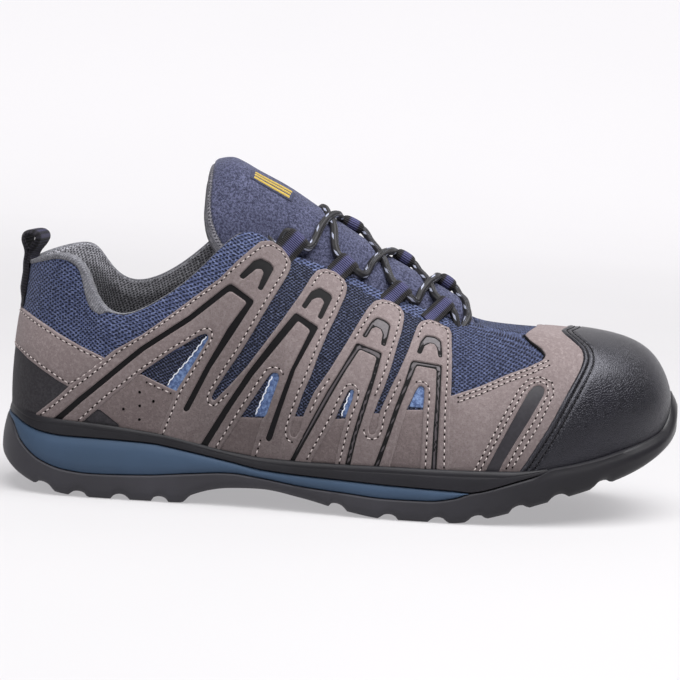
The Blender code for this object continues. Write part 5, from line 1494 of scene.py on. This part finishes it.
half = np.linspace(0, S_TOE, 261)
ring_x = closed_spline(KNOTS, ROWS, half[1:-1])[:, 0]
SOLE_RING = np.concatenate([[0.0], half[1:-1], [S_TOE], side_s(ring_x[::-1], True)])
w = Wall(SOLE_RING)
is_toe = smooth(84.0, 95.0, w.x)
top = w.split * (1 - is_toe) + w.rim * is_toe
tread_z = w.bottom + w.notch
rings = []
for f in (0.0, 0.05, 0.12, 0.22, 0.36, 0.52, 0.68, 0.82, 0.91):
    z = tread_z + (top - tread_z) * f
    rings.append(w.at(z))
lip = np.maximum(0.16 * (top - tread_z), 0.4)
rings += [w.at(top - 0.45, -0.05), w.at(top - 0.12, -0.45), w.at(top, -1.1)]
bead = smooth(78.0, 92.0, w.x)
rings[-3][:, :2] += w.out * (0.35 * bead)[:, None]
rings[-2][:, :2] += w.out * (0.25 * bead)[:, None]
inner = w.at(top, -2.6)
cup_top = w.cup(1.0)
inner_top = inner * (1 - is_toe)[:, None] + np.column_stack([cup_top[:, :2], np.minimum(cup_top[:, 2], top)]) * is_toe[:, None]
rings.append(inner_top)
floor_ring = w.cup(0.0)
floor_ring[:, 2] = np.minimum(sole("floor", w.low[:, 0]) - 0.4, top - 0.4)
rings.append(floor_ring)
loops_n = len(SOLE_RING)
verts = [np.concatenate(rings)]
faces = quads(len(rings), loops_n, close_cols=True).tolist()
h2 = loops_n // 2
ACROSS_N = 18


def bridge(ring_index, lift=None, flip=False):
    """Surface across a ring between its lateral and medial points."""
    base = ring_index * loops_n
    ring = rings[ring_index]
    o = sum(len(v) for v in verts)
    cols = []
    new = []
    for i in range(1, h2):
        a, b = ring[i], ring[loops_n - i]
        row = [base + i]
        for j in range(1, ACROSS_N):
            t = j / ACROSS_N
            p = a + (b - a) * t
            if lift is not None:
                p = p + np.array([0, 0, lift(p)])
            row.append(o + len(new))
            new.append(p)
        row.append(base + loops_n - i)
        cols.append(row)
    verts.append(np.array(new))
    out = []
    for r0, r1 in zip(cols[:-1], cols[1:]):
        out += [(r0[j], r0[j + 1], r1[j + 1], r1[j]) for j in range(ACROSS_N)]
    out += [(base, cols[0][j + 1], cols[0][j]) for j in range(ACROSS_N)]
    out += [(base + h2, cols[-1][j], cols[-1][j + 1]) for j in range(ACROSS_N)]
    return [f[::-1] for f in out] if flip else out


def centre_channel(p):
    """Flex channel along the middle of the tread."""
    return 1.6 * float(np.exp(-((p[1] - 0.03 * p[0]) / 3.2)**2)) * float(smooth(-132, -118, p[0]) * (1 - smooth(96, 112, p[0])))


faces += bridge(0, centre_channel)
faces += bridge(len(rings) - 1, None, True)
all_v = np.concatenate(verts)
outsole = make("outsole_tread", all_v, faces, OUTSOLE, sharp=48.0)
piece(outsole, "tread_rubber", "outsole")


def open_ring(s_lat, s_med, n):
    """Positions from the lateral front end round the heel to the medial front end."""
    return np.concatenate([np.linspace(s_med - 1.0, 0.0, n, endpoint=False), np.linspace(0.0, s_lat, n)])


def band(name, s, loops, mat, slot_name, *nodes):
    """Body round the heel from rings listed bottom outside, up, and down inside, with closed ends."""
    g = np.stack(loops, axis=1)
    n, c = g.shape[:2]
    f = quads(n, c, close_cols=True).tolist() + [tuple(range(c)), tuple((n - 1) * c + i for i in range(c))[::-1]]
    return piece(make(name, g.reshape(-1, 3), f, mat, sharp=48.0), slot_name, *nodes)


probe = np.linspace(30.0, 80.0, 501)
tip_x = float(probe[np.flatnonzero(sole("wedge_top", probe) - sole("wedge_low", probe) < 0.25)[0]])
s_b = open_ring(side_s(tip_x - 0.8, False), side_s(tip_x - 0.8, True), 280)
w = Wall(s_b)
lo, hi = w.split + np.minimum(0.32, 0.3 * (w.wedge - w.split)), w.wedge - np.minimum(0.02, 0.1 * (w.wedge - w.split))
tall = np.maximum(hi - lo, 0.06)
band_loops = [w.at(lo, -2.8), w.at(lo + 0.0 * tall, -1.0), w.at(lo + np.minimum(0.5, 0.15 * tall), -0.55), w.at(lo + 0.3 * tall, -0.22), w.at(lo + 0.5 * tall, -0.15),
              w.at(lo + 0.7 * tall, -0.22), w.at(hi - np.minimum(0.5, 0.15 * tall), -0.55), w.at(hi, -1.0), w.at(hi, -2.8)]
band("midsole_foam", s_b, band_loops, WEDGE, "wedge_foam", "midsole_wedge")

s_b = open_ring(side_s(88.5, False), side_s(88.5, True), 280)
w = Wall(s_b)
lo = w.wedge + 0.30
hi = np.maximum(w.rim, lo + 0.4)
tall = hi - lo
step_ = np.minimum(2.3, 0.45 * tall)
cup = w.cup(1.0)
cup[:, 2] = np.minimum(cup[:, 2], hi)
low_cup = w.cup(0.35)
low_cup[:, 2] = np.minimum(low_cup[:, 2], hi - 0.3)
band_loops = [w.at(lo, -2.8), w.at(lo, -0.8), w.at(lo + np.minimum(0.4, 0.12 * tall), -0.15), w.at(lo + 0.35 * tall, 0.05), w.at(lo + 0.6 * tall, 0.0) * 1.0,
              w.at(hi - step_ - 0.35, 0.0), w.at(hi - step_ - 0.1, -0.10), w.at(hi - step_ + 0.15, -0.06), w.at(hi - step_ + 0.4, 0.08),
              w.at(hi - 0.55 * step_, 0.10), w.at(hi - 0.2 * step_, -0.05), w.at(hi, -0.35), w.at(hi, -0.9), cup, low_cup]
band("rand", s_b, band_loops, RAND, "rand_rubber", "sole_frame")

# ============================================================ insole
s_i = np.concatenate([[0.0], half[1:-1], [S_TOE], side_s(ring_x[::-1], True)])
low, _, out, _ = last_frame(s_i)


def insole_ring(inset, z):
    xy = low[:, :2] - out * inset
    return np.column_stack([xy, sole("floor", xy[:, 0]) + z])


rings = [insole_ring(WALL + 0.6, 0.0), insole_ring(WALL + 0.6, INSOLE_THICK - 1.2), insole_ring(WALL + 0.9, INSOLE_THICK - 0.5),
         insole_ring(WALL + 1.5, INSOLE_THICK - 0.12), insole_ring(WALL + 2.4, INSOLE_THICK)]
loops_n, h2 = len(s_i), len(s_i) // 2
verts = [np.concatenate(rings)]
faces = quads(len(rings), loops_n, close_cols=True).tolist()


def cupped(p):
    return -1.1 * float(np.exp(-((p[1]) / 16.0)**2)) * float(1 - smooth(-100, -70, p[0]))


faces += bridge(0) + bridge(len(rings) - 1, cupped, True)
piece(make("insole_board", np.concatenate(verts), faces, INSOLE_CLOTH, sharp=50.0), "insole_cloth", "insole")

# ============================================================ tongue
SEAT_S = np.linspace(knot("ankle_front"), S_TOE - 0.075, 90)


def seat(x):
    sides = []
    for s in (SEAT_S, 1 - SEAT_S * (1 - S_TOE) / S_TOE):
        edge_in = upper_point(s, np.ones_like(s)) - upper_normal(s, np.ones_like(s)) * (wall(s, np.ones_like(s)) + 1.0)[:, None]
        o = np.argsort(edge_in[:, 0])
        sides += [np.interp(x, edge_in[o, 0], np.abs(edge_in[o, 1])), np.interp(x, edge_in[o, 0], edge_in[o, 2])]
    return sides


def tongue_row(x):
    x = np.atleast_1d(np.asarray(x, float))
    crown, half_w, thick, power, free = (column(TONGUE, TONGUE_COLUMNS, c, x) for c in TONGUE_COLUMNS[1:])
    y_lat, z_lat, y_med, z_med = seat(x)
    held = 1 - smooth(55.0, 59.0, x)
    hold = np.maximum(0.5 * (y_lat + y_med), 1.0)
    drop = np.maximum(crown - 0.5 * (z_lat + z_med), 0.5)
    arch = free / half_w**power * (1 - held) + drop / hold**power * held
    tilt = held * (z_med - z_lat) / (2 * hold)
    half_w = np.where(x < 20.0, np.minimum(half_w, hold + 1.8), half_w)
    return crown, half_w, thick, arch, power, tilt


def tongue_height(x, y):
    crown, _, _, arch, power, tilt = tongue_row(x)
    return crown - arch * np.abs(y)**power + tilt * y


def tongue_top(x, y):
    x, y = np.atleast_1d(np.asarray(x, float)), np.atleast_1d(np.asarray(y, float))
    n = np.column_stack([tongue_height(x - 0.5, y) - tongue_height(x + 0.5, y),
                         tongue_height(x, y - 0.5) - tongue_height(x, y + 0.5), np.ones_like(x)])
    return np.column_stack([x, y, tongue_height(x, y)]), n / np.linalg.norm(n, axis=1)[:, None]


TX = np.concatenate([np.linspace(-63.4, -59.0, 18), np.linspace(-58.6, -52.0, 16), np.linspace(-51.0, 60.0, 100), np.linspace(61.0, 72.0, 8)])
TY = np.sin(np.linspace(-np.pi / 2, np.pi / 2, 57))
rows = []
for x in TX:
    crown, half_w, thick, arch, power, tilt = (c[0] for c in tongue_row(x))
    y = TY * half_w
    over, n = tongue_top(np.full_like(y, x), y)
    down = n.copy()
    down[:, 0] = 0
    down /= np.linalg.norm(down, axis=1)[:, None]
    fall = np.maximum(crown - over[:, 2] - 16.0, 0)
    over[:, 0] += (0.16 * fall + 0.022 * np.maximum(fall - 4.0, 0)**2) * smooth(-40.0, -60.0, x)
    taper = 1 - 0.55 * np.abs(TY)**4
    t = thick * taper
    puff = 0.5 * np.sin(np.pi * np.clip((x + 64) / 20, 0, 1)) * (1 - np.abs(TY)**2)
    lip = np.sqrt(np.clip(1 - (1 - np.clip((x + 63.4) / 2.4, 0, 1))**2, 0, 1))
    seam = 0.5 * np.exp(-((x + 60.9) / 0.45)**2)
    over_p = over + n * (puff - 0.9 * (1 - lip) - seam)[:, None]
    below = over - down * t[:, None]
    mid_a = over[-1] + np.array([0, 0.28 * t[-1], 0]) - down[-1] * 0.5 * t[-1]
    mid_b = over[0] + np.array([0, -0.28 * t[0], 0]) - down[0] * 0.5 * t[0]
    rows.append(np.concatenate([over_p, mid_a[None], below[::-1], mid_b[None]]))
g = np.stack(rows)
n, c = g.shape[:2]
faces = quads(n, c, close_cols=True).tolist()
for o, flip in ((0, False), ((n - 1) * c, True)):
    m = len(TY)
    lid = [(o + i, o + i + 1, o + 2 * m - 1 - i, o + 2 * m - i) for i in range(m - 1)]
    lid += [(o + m - 1, o + m, o + m + 1), (o + 2 * m, o + 2 * m + 1, o)]
    faces += [f if flip else f[::-1] for f in lid]
col = np.arange(c)
look = np.where(col < len(TY) + 1, 0, 1)
look = np.tile(look, n - 1)
look[np.repeat(TX[:-1] < -61.0, c)] = 1
index = look.tolist() + [1] * (len(faces) - (n - 1) * c)
arc = np.concatenate([np.zeros((n, 1)), np.cumsum(np.linalg.norm(np.diff(g, axis=1), axis=2), axis=1)], axis=1)
uvt = np.stack([np.broadcast_to(TX[:, None], arc.shape), arc], -1).reshape(-1, 2)
tongue = make("tongue_pad", g.reshape(-1, 3), faces, [TONGUE_FELT, TONGUE_LINING], index, uvt, sharp=60.0)
piece(tongue, "tongue_cloth", "tongue")

# ---- plain patch with three sewn bars on the tongue
gx, gy = np.meshgrid(np.linspace(-58, -20, 153), np.linspace(-24, 10, 137), indexing="ij")
on_tongue, tongue_n = tongue_top(gx.ravel(), gy.ravel())
tongue_px = to_pixels(on_tongue + tongue_n * 0.5)
tongue_px[(tongue_n * (CAM_POS - on_tongue)).sum(1) < 0] = 1e6


def tongue_at(px):
    k = [int(np.argmin(((tongue_px - q)**2).sum(1))) for q in np.asarray(px, float)]
    return np.column_stack([gx.ravel()[k], gy.ravel()[k]])


PATCH = tongue_at([(252, 169), (297, 193.5), (291.5, 202), (250.5, 177.5)])


def patch_point(a, b, lift):
    """Points of the patch; a along it, b across it, both 0 to 1."""
    q = ((1 - a) * (1 - b))[:, None] * PATCH[0] + (a * (1 - b))[:, None] * PATCH[1] + (a * b)[:, None] * PATCH[2] + ((1 - a) * b)[:, None] * PATCH[3]
    p_, n_ = tongue_top(q[:, 0], q[:, 1])
    x_ = q[:, 0]
    puff_ = 0.5 * np.sin(np.pi * np.clip((x_ + 64) / 20, 0, 1)) * (1 - np.clip(np.abs(q[:, 1]) / 28.0, 0, 1)**2)
    return p_ + n_ * (puff_ + lift)[:, None]


def patch(name, a0, a1, b0, b1, high, low, na, nb_, mat):
    aa, bb = np.meshgrid(np.linspace(a0, a1, na), np.linspace(b0, b1, nb_), indexing="ij")
    aa, bb = aa.ravel(), bb.ravel()
    rim_ = np.minimum(np.minimum((aa - a0), (a1 - aa)) * 22.0, np.minimum((bb - b0), (b1 - bb)) * 9.0)
    top_ = patch_point(aa, bb, low + (high - low) * np.sqrt(np.clip(rim_ / 0.4, 0.02, 1)))
    bot_ = patch_point(aa, bb, np.full_like(aa, low - 0.5))
    f_ = quads(na, nb_)
    m_ = na * nb_
    ring_ = [i * nb_ for i in range(na)] + [(na - 1) * nb_ + j for j in range(1, nb_)] + [i * nb_ + nb_ - 1 for i in range(na - 2, -1, -1)] + list(range(nb_ - 2, 0, -1))
    side_ = [(ring_[i], ring_[(i + 1) % len(ring_)], ring_[(i + 1) % len(ring_)] + m_, ring_[i] + m_) for i in range(len(ring_))]
    ob_ = make(name, np.concatenate([top_, bot_]), f_[:, ::-1].tolist() + (f_ + m_).tolist() + [s_[::-1] for s_ in side_], mat, sharp=50.0)
    fix = bmesh.new()
    fix.from_mesh(ob_.data)
    bmesh.ops.recalc_face_normals(fix, faces=fix.faces[:])
    fix.to_mesh(ob_.data)
    fix.free()
    return piece(ob_, "tongue_cloth")


patch("tongue_patch", 0.0, 1.0, 0.0, 1.0, 0.55, 0.0, 40, 18, LABEL_BASE)
for i, (b0, b1) in enumerate(((0.13, 0.33), (0.42, 0.60), (0.69, 0.88)), start=1):
    patch(f"tongue_patch_bar_{i}", 0.08, 0.92, b0, b1, 0.85, 0.45, 36, 7, LABEL_YARN)

# ============================================================ lace loops
TEAR = 56


def lace_loop(name, side, eye_x, base_x, width):
    skin_p, n = tongue_top(eye_x, side * (seat(np.array([eye_x]))[0 if side < 0 else 2][0] + 2.4 - EYE_INSIDE - (0.0 if side < 0 else 7.0 if eye_x > -15 else -4.0)))
    eye = skin_p[0] + n[0] * 3.2
    s = np.linspace(knot("eyestay_top"), S_TOE - 0.06, 400)
    if side > 0:
        s = 1 - s * (1 - S_TOE) / S_TOE
    path = upper_point(s, np.full_like(s, 0.975))
    k = int(np.argmin(np.abs(path[:, 0] - base_x)))
    base = path[k] + upper_normal(s[k], 0.975) * (LOOP_THICK / 2 + 0.9)
    across = path[min(k + 3, 399)] - path[max(k - 3, 0)]
    if across[0] < 0:
        across = -across
    d = eye - base
    length = np.linalg.norm(d)
    d /= length
    length -= 1.6
    eye = base + d * length
    across -= d * (across @ d)
    across /= np.linalg.norm(across)
    up = np.cross(d, across) * (1 if np.cross(d, across)[2] > 0 else -1)
    ring_r = EYE_R + LOOP_THICK / 2
    angle = np.linspace(-np.pi, np.pi, TEAR, endpoint=False)
    # strap centre line: out along the top, round the eye, back along the underside
    turn = np.radians(118.0)
    pts, nrm = [], []
    for a in np.linspace(-turn, turn, 40):
        pts.append((length + 2.5 * np.cos(a), 2.5 * np.sin(a)))
    start, end = np.array(pts[0]), np.array(pts[-1])
    near = np.abs(SIDE[:, 0] - lateral_s(s[k])) * PERIMETER < 0.5 * width
    tip_v = min(float(SIDE[near, 1].max()) if near.any() else 0.96, 0.985)

    def on_section(v_, h_):
        q = upper_point(s[k], v_) + upper_normal(s[k], v_) * h_ - base
        return np.array([q @ d, q @ up])
    foot, knee = on_section(tip_v - 0.06, 0.0), on_section(min(tip_v + 0.02, 1.0), 0.55)
    foot_low, foot_up = foot - [0.0, 0.12], foot + [0.0, 0.12]
    knee_low, knee_up = knee - [0.0, 0.20], knee + [0.0, 0.25]

    def leg(a, b, m=9, soft=True):
        t = np.linspace(0, 1, m, endpoint=False)[:, None]
        ease = t * t * (3 - 2 * t) if soft else t
        return np.column_stack([(a[0] + (b[0] - a[0]) * t[:, 0]), (a[1] + (b[1] - a[1]) * ease[:, 0])])
    centre = np.concatenate([leg(foot_low, knee_low, 6, False), leg(knee_low, start, 9, False), np.array(pts),
                             leg(end, knee_up, 9, False)[1:], leg(knee_up, foot_up, 6, False), foot_up[None]])
    for _ in range(5):
        centre[1:-1] = 0.25 * centre[:-2] + 0.5 * centre[1:-1] + 0.25 * centre[2:]
    tangent = np.gradient(centre, axis=0)
    tangent /= np.linalg.norm(tangent, axis=1)[:, None]
    normal2 = np.column_stack([tangent[:, 1], -tangent[:, 0]])
    run = np.concatenate([[0], np.cumsum(np.linalg.norm(np.diff(centre, axis=0), axis=1))])
    cols = np.linspace(-0.5, 0.5, 11) * width
    bulge = 0.55 * np.sqrt(np.clip(1 - (2 * np.abs(cols) / width)**4, 0, 1)) + 0.05
    from_foot = np.minimum(run, run[-1] - run)
    thin = 0.3 + 0.7 * smooth(5.5, 10.0, from_foot)
    crown_ = 0.9 * smooth(1.0, 6.0, from_foot)
    g, u = [], []
    for face in (1, -1):
        order_c = range(11) if face > 0 else range(10, -1, -1)
        for j in order_c:
            p2 = centre + normal2 * (face * bulge[j] * thin - crown_ * (2 * cols[j] / width)**2 * 0.45)[:, None]
            g.append(base + d * p2[:, :1] + up * p2[:, 1:] + across * cols[j])
            u.append(np.column_stack([run, np.full(len(run), cols[j])]))
    g, u = np.stack(g, 1), np.stack(u, 1)
    n_, c_ = g.shape[:2]
    faces = quads(n_, c_, close_cols=True).tolist() + [tuple(range(c_))[::-1], tuple((n_ - 1) * c_ + i for i in range(c_))]
    ob = make("loop_" + name, g.reshape(-1, 3), faces, LOOP_MATS[round(width, 1)], uv=u.reshape(-1, 2), sharp=50.0)
    piece(ob, "loop_webbing", "lace_" + name)
    return eye, across


LOOP_MATS = {round(w_, 1): webbing(f"loop_webbing_{i + 1}", (84, 84, 124), (44, 42, 44), 0.82, w_ / 2) for i, (_, _, w_) in enumerate(LOOPS)}
eyes = {}
for k, (eye_x, base_x, width) in enumerate(LOOPS, start=1):
    for tag, side in (("lat", -1), ("med", 1)):
        eyes[tag, k] = lace_loop(f"loop_{tag}_{k}", side, eye_x, base_x, width) + (width,)

# ============================================================ lace
HUG = LACE_R - 0.55
OVER = 1.3
PRESS = 0.9


def strand(a, b, over):
    pts = []
    for t in (0.22, 0.36, 0.5, 0.64, 0.78):
        x, y = (1 - t) * a[0] + t * b[0], (1 - t) * a[1] + t * b[1]
        p, n = tongue_top(x, y)
        pts.append(p[0] + n[0] * (HUG + (OVER if over else -PRESS) * np.exp(-(y / 5.0)**2)))
    return pts


def through(key, toward_toe):
    eye, w_, width = eyes[key]
    d = w_ if toward_toe else -w_
    return [eye + d * (width / 2 + 0.8) * f for f in (-0.86, -0.45, 0.0, 0.45, 0.86)]


def other(tag):
    return "med" if tag == "lat" else "lat"


def natural_spline(t, y, at):
    n = len(t)
    h = np.diff(t)
    lhs, rhs = np.eye(n), np.zeros_like(y)
    for i in range(1, n - 1):
        lhs[i, i - 1:i + 2] = (h[i - 1], 2 * (h[i - 1] + h[i]), h[i])
        rhs[i] = 6 * ((y[i + 1] - y[i]) / h[i] - (y[i] - y[i - 1]) / h[i - 1])
    m = np.linalg.solve(lhs, rhs)
    i = np.clip(np.searchsorted(t, at, side="right") - 1, 0, n - 2)
    w_ = h[i][:, None]
    p, q = (t[i + 1] - at)[:, None] / w_, (at - t[i])[:, None] / w_
    return p * y[i] + q * y[i + 1] + ((p**3 - p) * m[i] + (q**3 - q) * m[i + 1]) * w_**2 / 6


path = []
tag = "lat"
start = through(("lat", 1), True)


def tucked(key, sign):
    """Hidden end of the lace, laid down on the tongue behind its loop."""
    eye, _, _ = eyes[key]
    x = np.array([eye[0] - 12.5, eye[0] - 8.5])
    p_, n_ = tongue_top(x, eye[1] - sign * np.array([0.5, 0.3]))
    return [p_[0] - n_[0] * 0.6, p_[1] + n_[1] * 0.7]


path += tucked(("lat", 1), -1) + start
for k in (2, 3, 4):
    nxt = through((other(tag), k), True)
    path += strand(path[-1], nxt[0], over=(k % 2 == 0)) + nxt
    tag = other(tag)
bar_from, bar_to = path[-1], through((other(tag), 4), False)
for t in (0.12, 0.28, 0.44, 0.60, 0.76, 0.90):
    x = (1 - t) * bar_from[0] + t * bar_to[0][0] + 5.8 * np.sin(np.pi * t)
    y = (1 - t) * bar_from[1] + t * bar_to[0][1]
    p, n = tongue_top(x, y)
    path.append(p[0] + n[0] * (HUG - 0.4 + 3.0 * smooth(0.45, 0.72, t)))
path += bar_to
tag = other(tag)
for k in (3, 2, 1):
    nxt = through((other(tag), k), False)
    path += strand(path[-1], nxt[0], over=((k + 1) % 2 == 1)) + nxt
    tag = other(tag)
path += tucked(("med", 1), 1)[::-1]
path = np.array(path)
chord = np.concatenate([[0], np.cumsum(np.linalg.norm(np.diff(path, axis=0), axis=1))])
LACE_STEPS, LACE_SIDES = 1100, 24
run = natural_spline(chord, path, np.linspace(0, chord[-1], LACE_STEPS))
length = np.concatenate([[0], np.cumsum(np.linalg.norm(np.diff(run, axis=0), axis=1))])
v, f = tube(run, LACE_R * 1.0, LACE_SIDES)
a = np.tile(np.arange(LACE_SIDES) / LACE_SIDES * 2 * np.pi, LACE_STEPS)
along = np.repeat(length, LACE_SIDES)
centre = np.repeat(run, LACE_SIDES, axis=0)
weave = 0.05 * np.cos(a * 6)
v = centre + (v - centre) * (1 + weave / LACE_R)[:, None]
end_shrink = np.ones(LACE_STEPS)
end_shrink[:10] = end_shrink[-10:][::-1] = np.sqrt(np.linspace(0.05, 1, 10))
end_shrink[-10:] = np.sqrt(np.linspace(1, 0.05, 10))
v = centre + (v - centre) * np.repeat(end_shrink, LACE_SIDES)[:, None]
uvl = np.column_stack([along, a / (2 * np.pi) * 12.0])


def lace_finish():
    """Round cord: ribs along it, dark, with a pale dash every centimetre or so."""
    f_ = Finish("lace_braid", (34, 33, 36), 0.55, specular=0.4, sheen=0.03)
    u, w_ = f_.uv_mm()
    rib = f_.wave(w_, 2.0)
    tick = f_.wave(f_.math("ADD", u, f_.math("MULTIPLY", w_, 1.2)), 1.1)
    slide = f_.math("ADD", u, f_.math("MULTIPLY", w_, 1.6))
    dash = f_.math("MULTIPLY", f_.ramp(f_.wave(slide, 8.4), 0.76, 0.84), f_.ramp(f_.wave(w_, 4.0), 0.80, 0.90))
    dark = f_.mix(f_.math("MULTIPLY", rib, 0.8), rgb(11, 11, 14), rgb(44, 42, 47))
    dark = f_.mix(f_.math("MULTIPLY", tick, 0.35), dark, rgb(20, 20, 24))
    f_.colour(f_.mix(dash, dark, rgb(158, 162, 182)))
    f_.bump(f_.math("ADD", rib, f_.math("MULTIPLY", tick, 0.3)), 0.5, 0.25)
    return f_.mat


lace = make("lace_cord", v, f, lace_finish(), uv=uvl, sharp=None)
piece(lace, "lace_cord", "lace")

# ============================================================ pull loop at the heel
across = np.linspace(-0.5, 0.5, 13) * PULL_WIDTH
climb = np.linspace(PULL_LOW_Z + 5.0, 94.0, 26)
back_s, back_v = np.linspace(-0.05, 0.05, 401), np.linspace(0.3, 1.0, 301)
back = upper_point(back_s[:, None], back_v[None, :])
strips = []
for y in across:
    rail = []
    for z in climb:
        k = np.argmin((back[..., 1] - y)**2 + (back[..., 2] - z)**2)
        p = back.reshape(-1, 3)[k]
        rail.append((p[0] - GAP - 0.25, y, z))
    rest = np.array(PULL_TOP)
    lead = rail[-1][0] - GAP
    curl = open_curve(np.arange(len(rest), dtype=float), rest, np.linspace(0, len(rest) - 1, 60))
    t60 = np.arange(60.0) * 14 / 59
    curl[:, 0] += (lead - curl[0, 0]) * (1 - smooth(0, 6, t60)) + 0.20 * y * smooth(1.5, 6, t60) + 0.012 * y**2 * smooth(10, 14, t60)
    rail += [(cx, y, cz) for cx, cz in curl]
    strips.append(rail)
strips = np.array(strips)
for _ in range(3):
    strips[:, 1:-1] = 0.25 * strips[:, :-2] + 0.5 * strips[:, 1:-1] + 0.25 * strips[:, 2:]
tangent = np.gradient(strips, axis=1)
tangent /= np.linalg.norm(tangent, axis=2)[..., None]
outward = np.stack([-tangent[..., 2], np.zeros(tangent.shape[:2]), tangent[..., 0]], axis=2)
thick = PULL_THICK * (0.35 + 0.65 * np.sqrt(np.clip(1 - (2 * np.abs(across) / PULL_WIDTH)**8, 0, 1)))
thick = thick[:, None] * (0.25 + 0.75 * smooth(2.0, 14.0, np.arange(strips.shape[1], dtype=float)))[None]
skin_in, skin_out = strips, strips + outward * thick[..., None]
g = np.concatenate([skin_out, skin_in[::-1]], axis=0).transpose(1, 0, 2)
n, c = g.shape[:2]
faces = quads(n, c, close_cols=True).tolist() + [tuple(range(c))[::-1], tuple((n - 1) * c + i for i in range(c))]
run_p = np.concatenate([[0], np.cumsum(np.linalg.norm(np.diff(strips[6], axis=0), axis=1))])
uvp = np.stack([np.broadcast_to(run_p[:, None], (n, c)), np.broadcast_to(np.concatenate([across, across[::-1]])[None], (n, c))], -1).reshape(-1, 2)
pull = make("pull_loop_webbing", g.reshape(-1, 3), faces, webbing("pull_webbing", (50, 48, 70), (34, 32, 40), 1.3, PULL_WIDTH / 2, (0.62, 0.80)), uv=uvp, sharp=50.0)
piece(pull, "pull_webbing", "heel_pull_loop")

# ============================================================ stage and light
def sweep(size, depth, height, bend, n=24):
    """Pale floor that curves up into a backdrop."""
    prof = [(-size, 0.0), (depth - bend, 0.0)]
    prof += [(depth - bend + bend * np.sin(t), bend - bend * np.cos(t)) for t in np.linspace(0, np.pi / 2, n)[1:]]
    prof.append((depth, height))
    verts = [(x, y, z) for y, z in prof for x in (-size, size)]
    return make("floor", np.array(verts) / MM, quads(len(prof), 2), floor_finish(), sharp=None)


def floor_finish():
    f_ = Finish("pale_floor_glowing", (150, 149, 150), 0.9, specular=0.1)
    f_.colour(f_.mix(f_.ramp(f_.noise(3.0, 2.0), 0.3, 0.7), rgb(149, 148, 149), rgb(151, 150, 151)))
    place = f_.node("ShaderNodeSeparateXYZ")
    f_.link(f_.coords.outputs["Object"], place.inputs[0])
    # painted light: the floor glows, more up the backdrop, and the glow fills the shoe's shadow on the floor
    f_.set("Emission Color", rgb(246, 244, 247))
    f_.link(f_.math("ADD", 0.43, f_.math("MULTIPLY", f_.ramp(place.outputs[1], 0.3, 2.2), 0.39)), f_.shader.inputs["Emission Strength"])
    return f_.mat


floor = sweep(6.0, 3.0, 4.0, 1.5)


def area_light(name, where, aim, size, watts, colour=(1, 1, 1)):
    data = bpy.data.lights.new(name, "AREA")
    data.shape, data.size, data.size_y = "RECTANGLE", size[0], size[1]
    data.energy, data.color = watts, colour
    ob_ = bpy.data.objects.new(name, data)
    bpy.context.scene.collection.objects.link(ob_)
    ob_.location = where
    ob_.rotation_euler = (Vector(aim) - Vector(where)).to_track_quat("-Z", "Y").to_euler()
    return ob_


area_light("top_soft", (0.30, -0.45, 1.6), (0.02, 0, 0.05), (1.9, 1.5), 54)
area_light("front_soft", (-1.3, -1.3, 0.9), (-0.03, 0, 0.06), (1.2, 1.0), 4.5)
area_light("toe_soft", (1.0, -0.3, 1.35), (0.10, 0, 0.06), (0.8, 0.8), 8)
world = bpy.data.worlds.new("studio")
bpy.context.scene.world = world
world.use_nodes = True
world.node_tree.nodes["Background"].inputs["Color"].default_value = (1.0, 1.0, 1.0, 1)
world.node_tree.nodes["Background"].inputs["Strength"].default_value = 0.10
bpy.context.scene.view_settings.view_transform = "Standard"
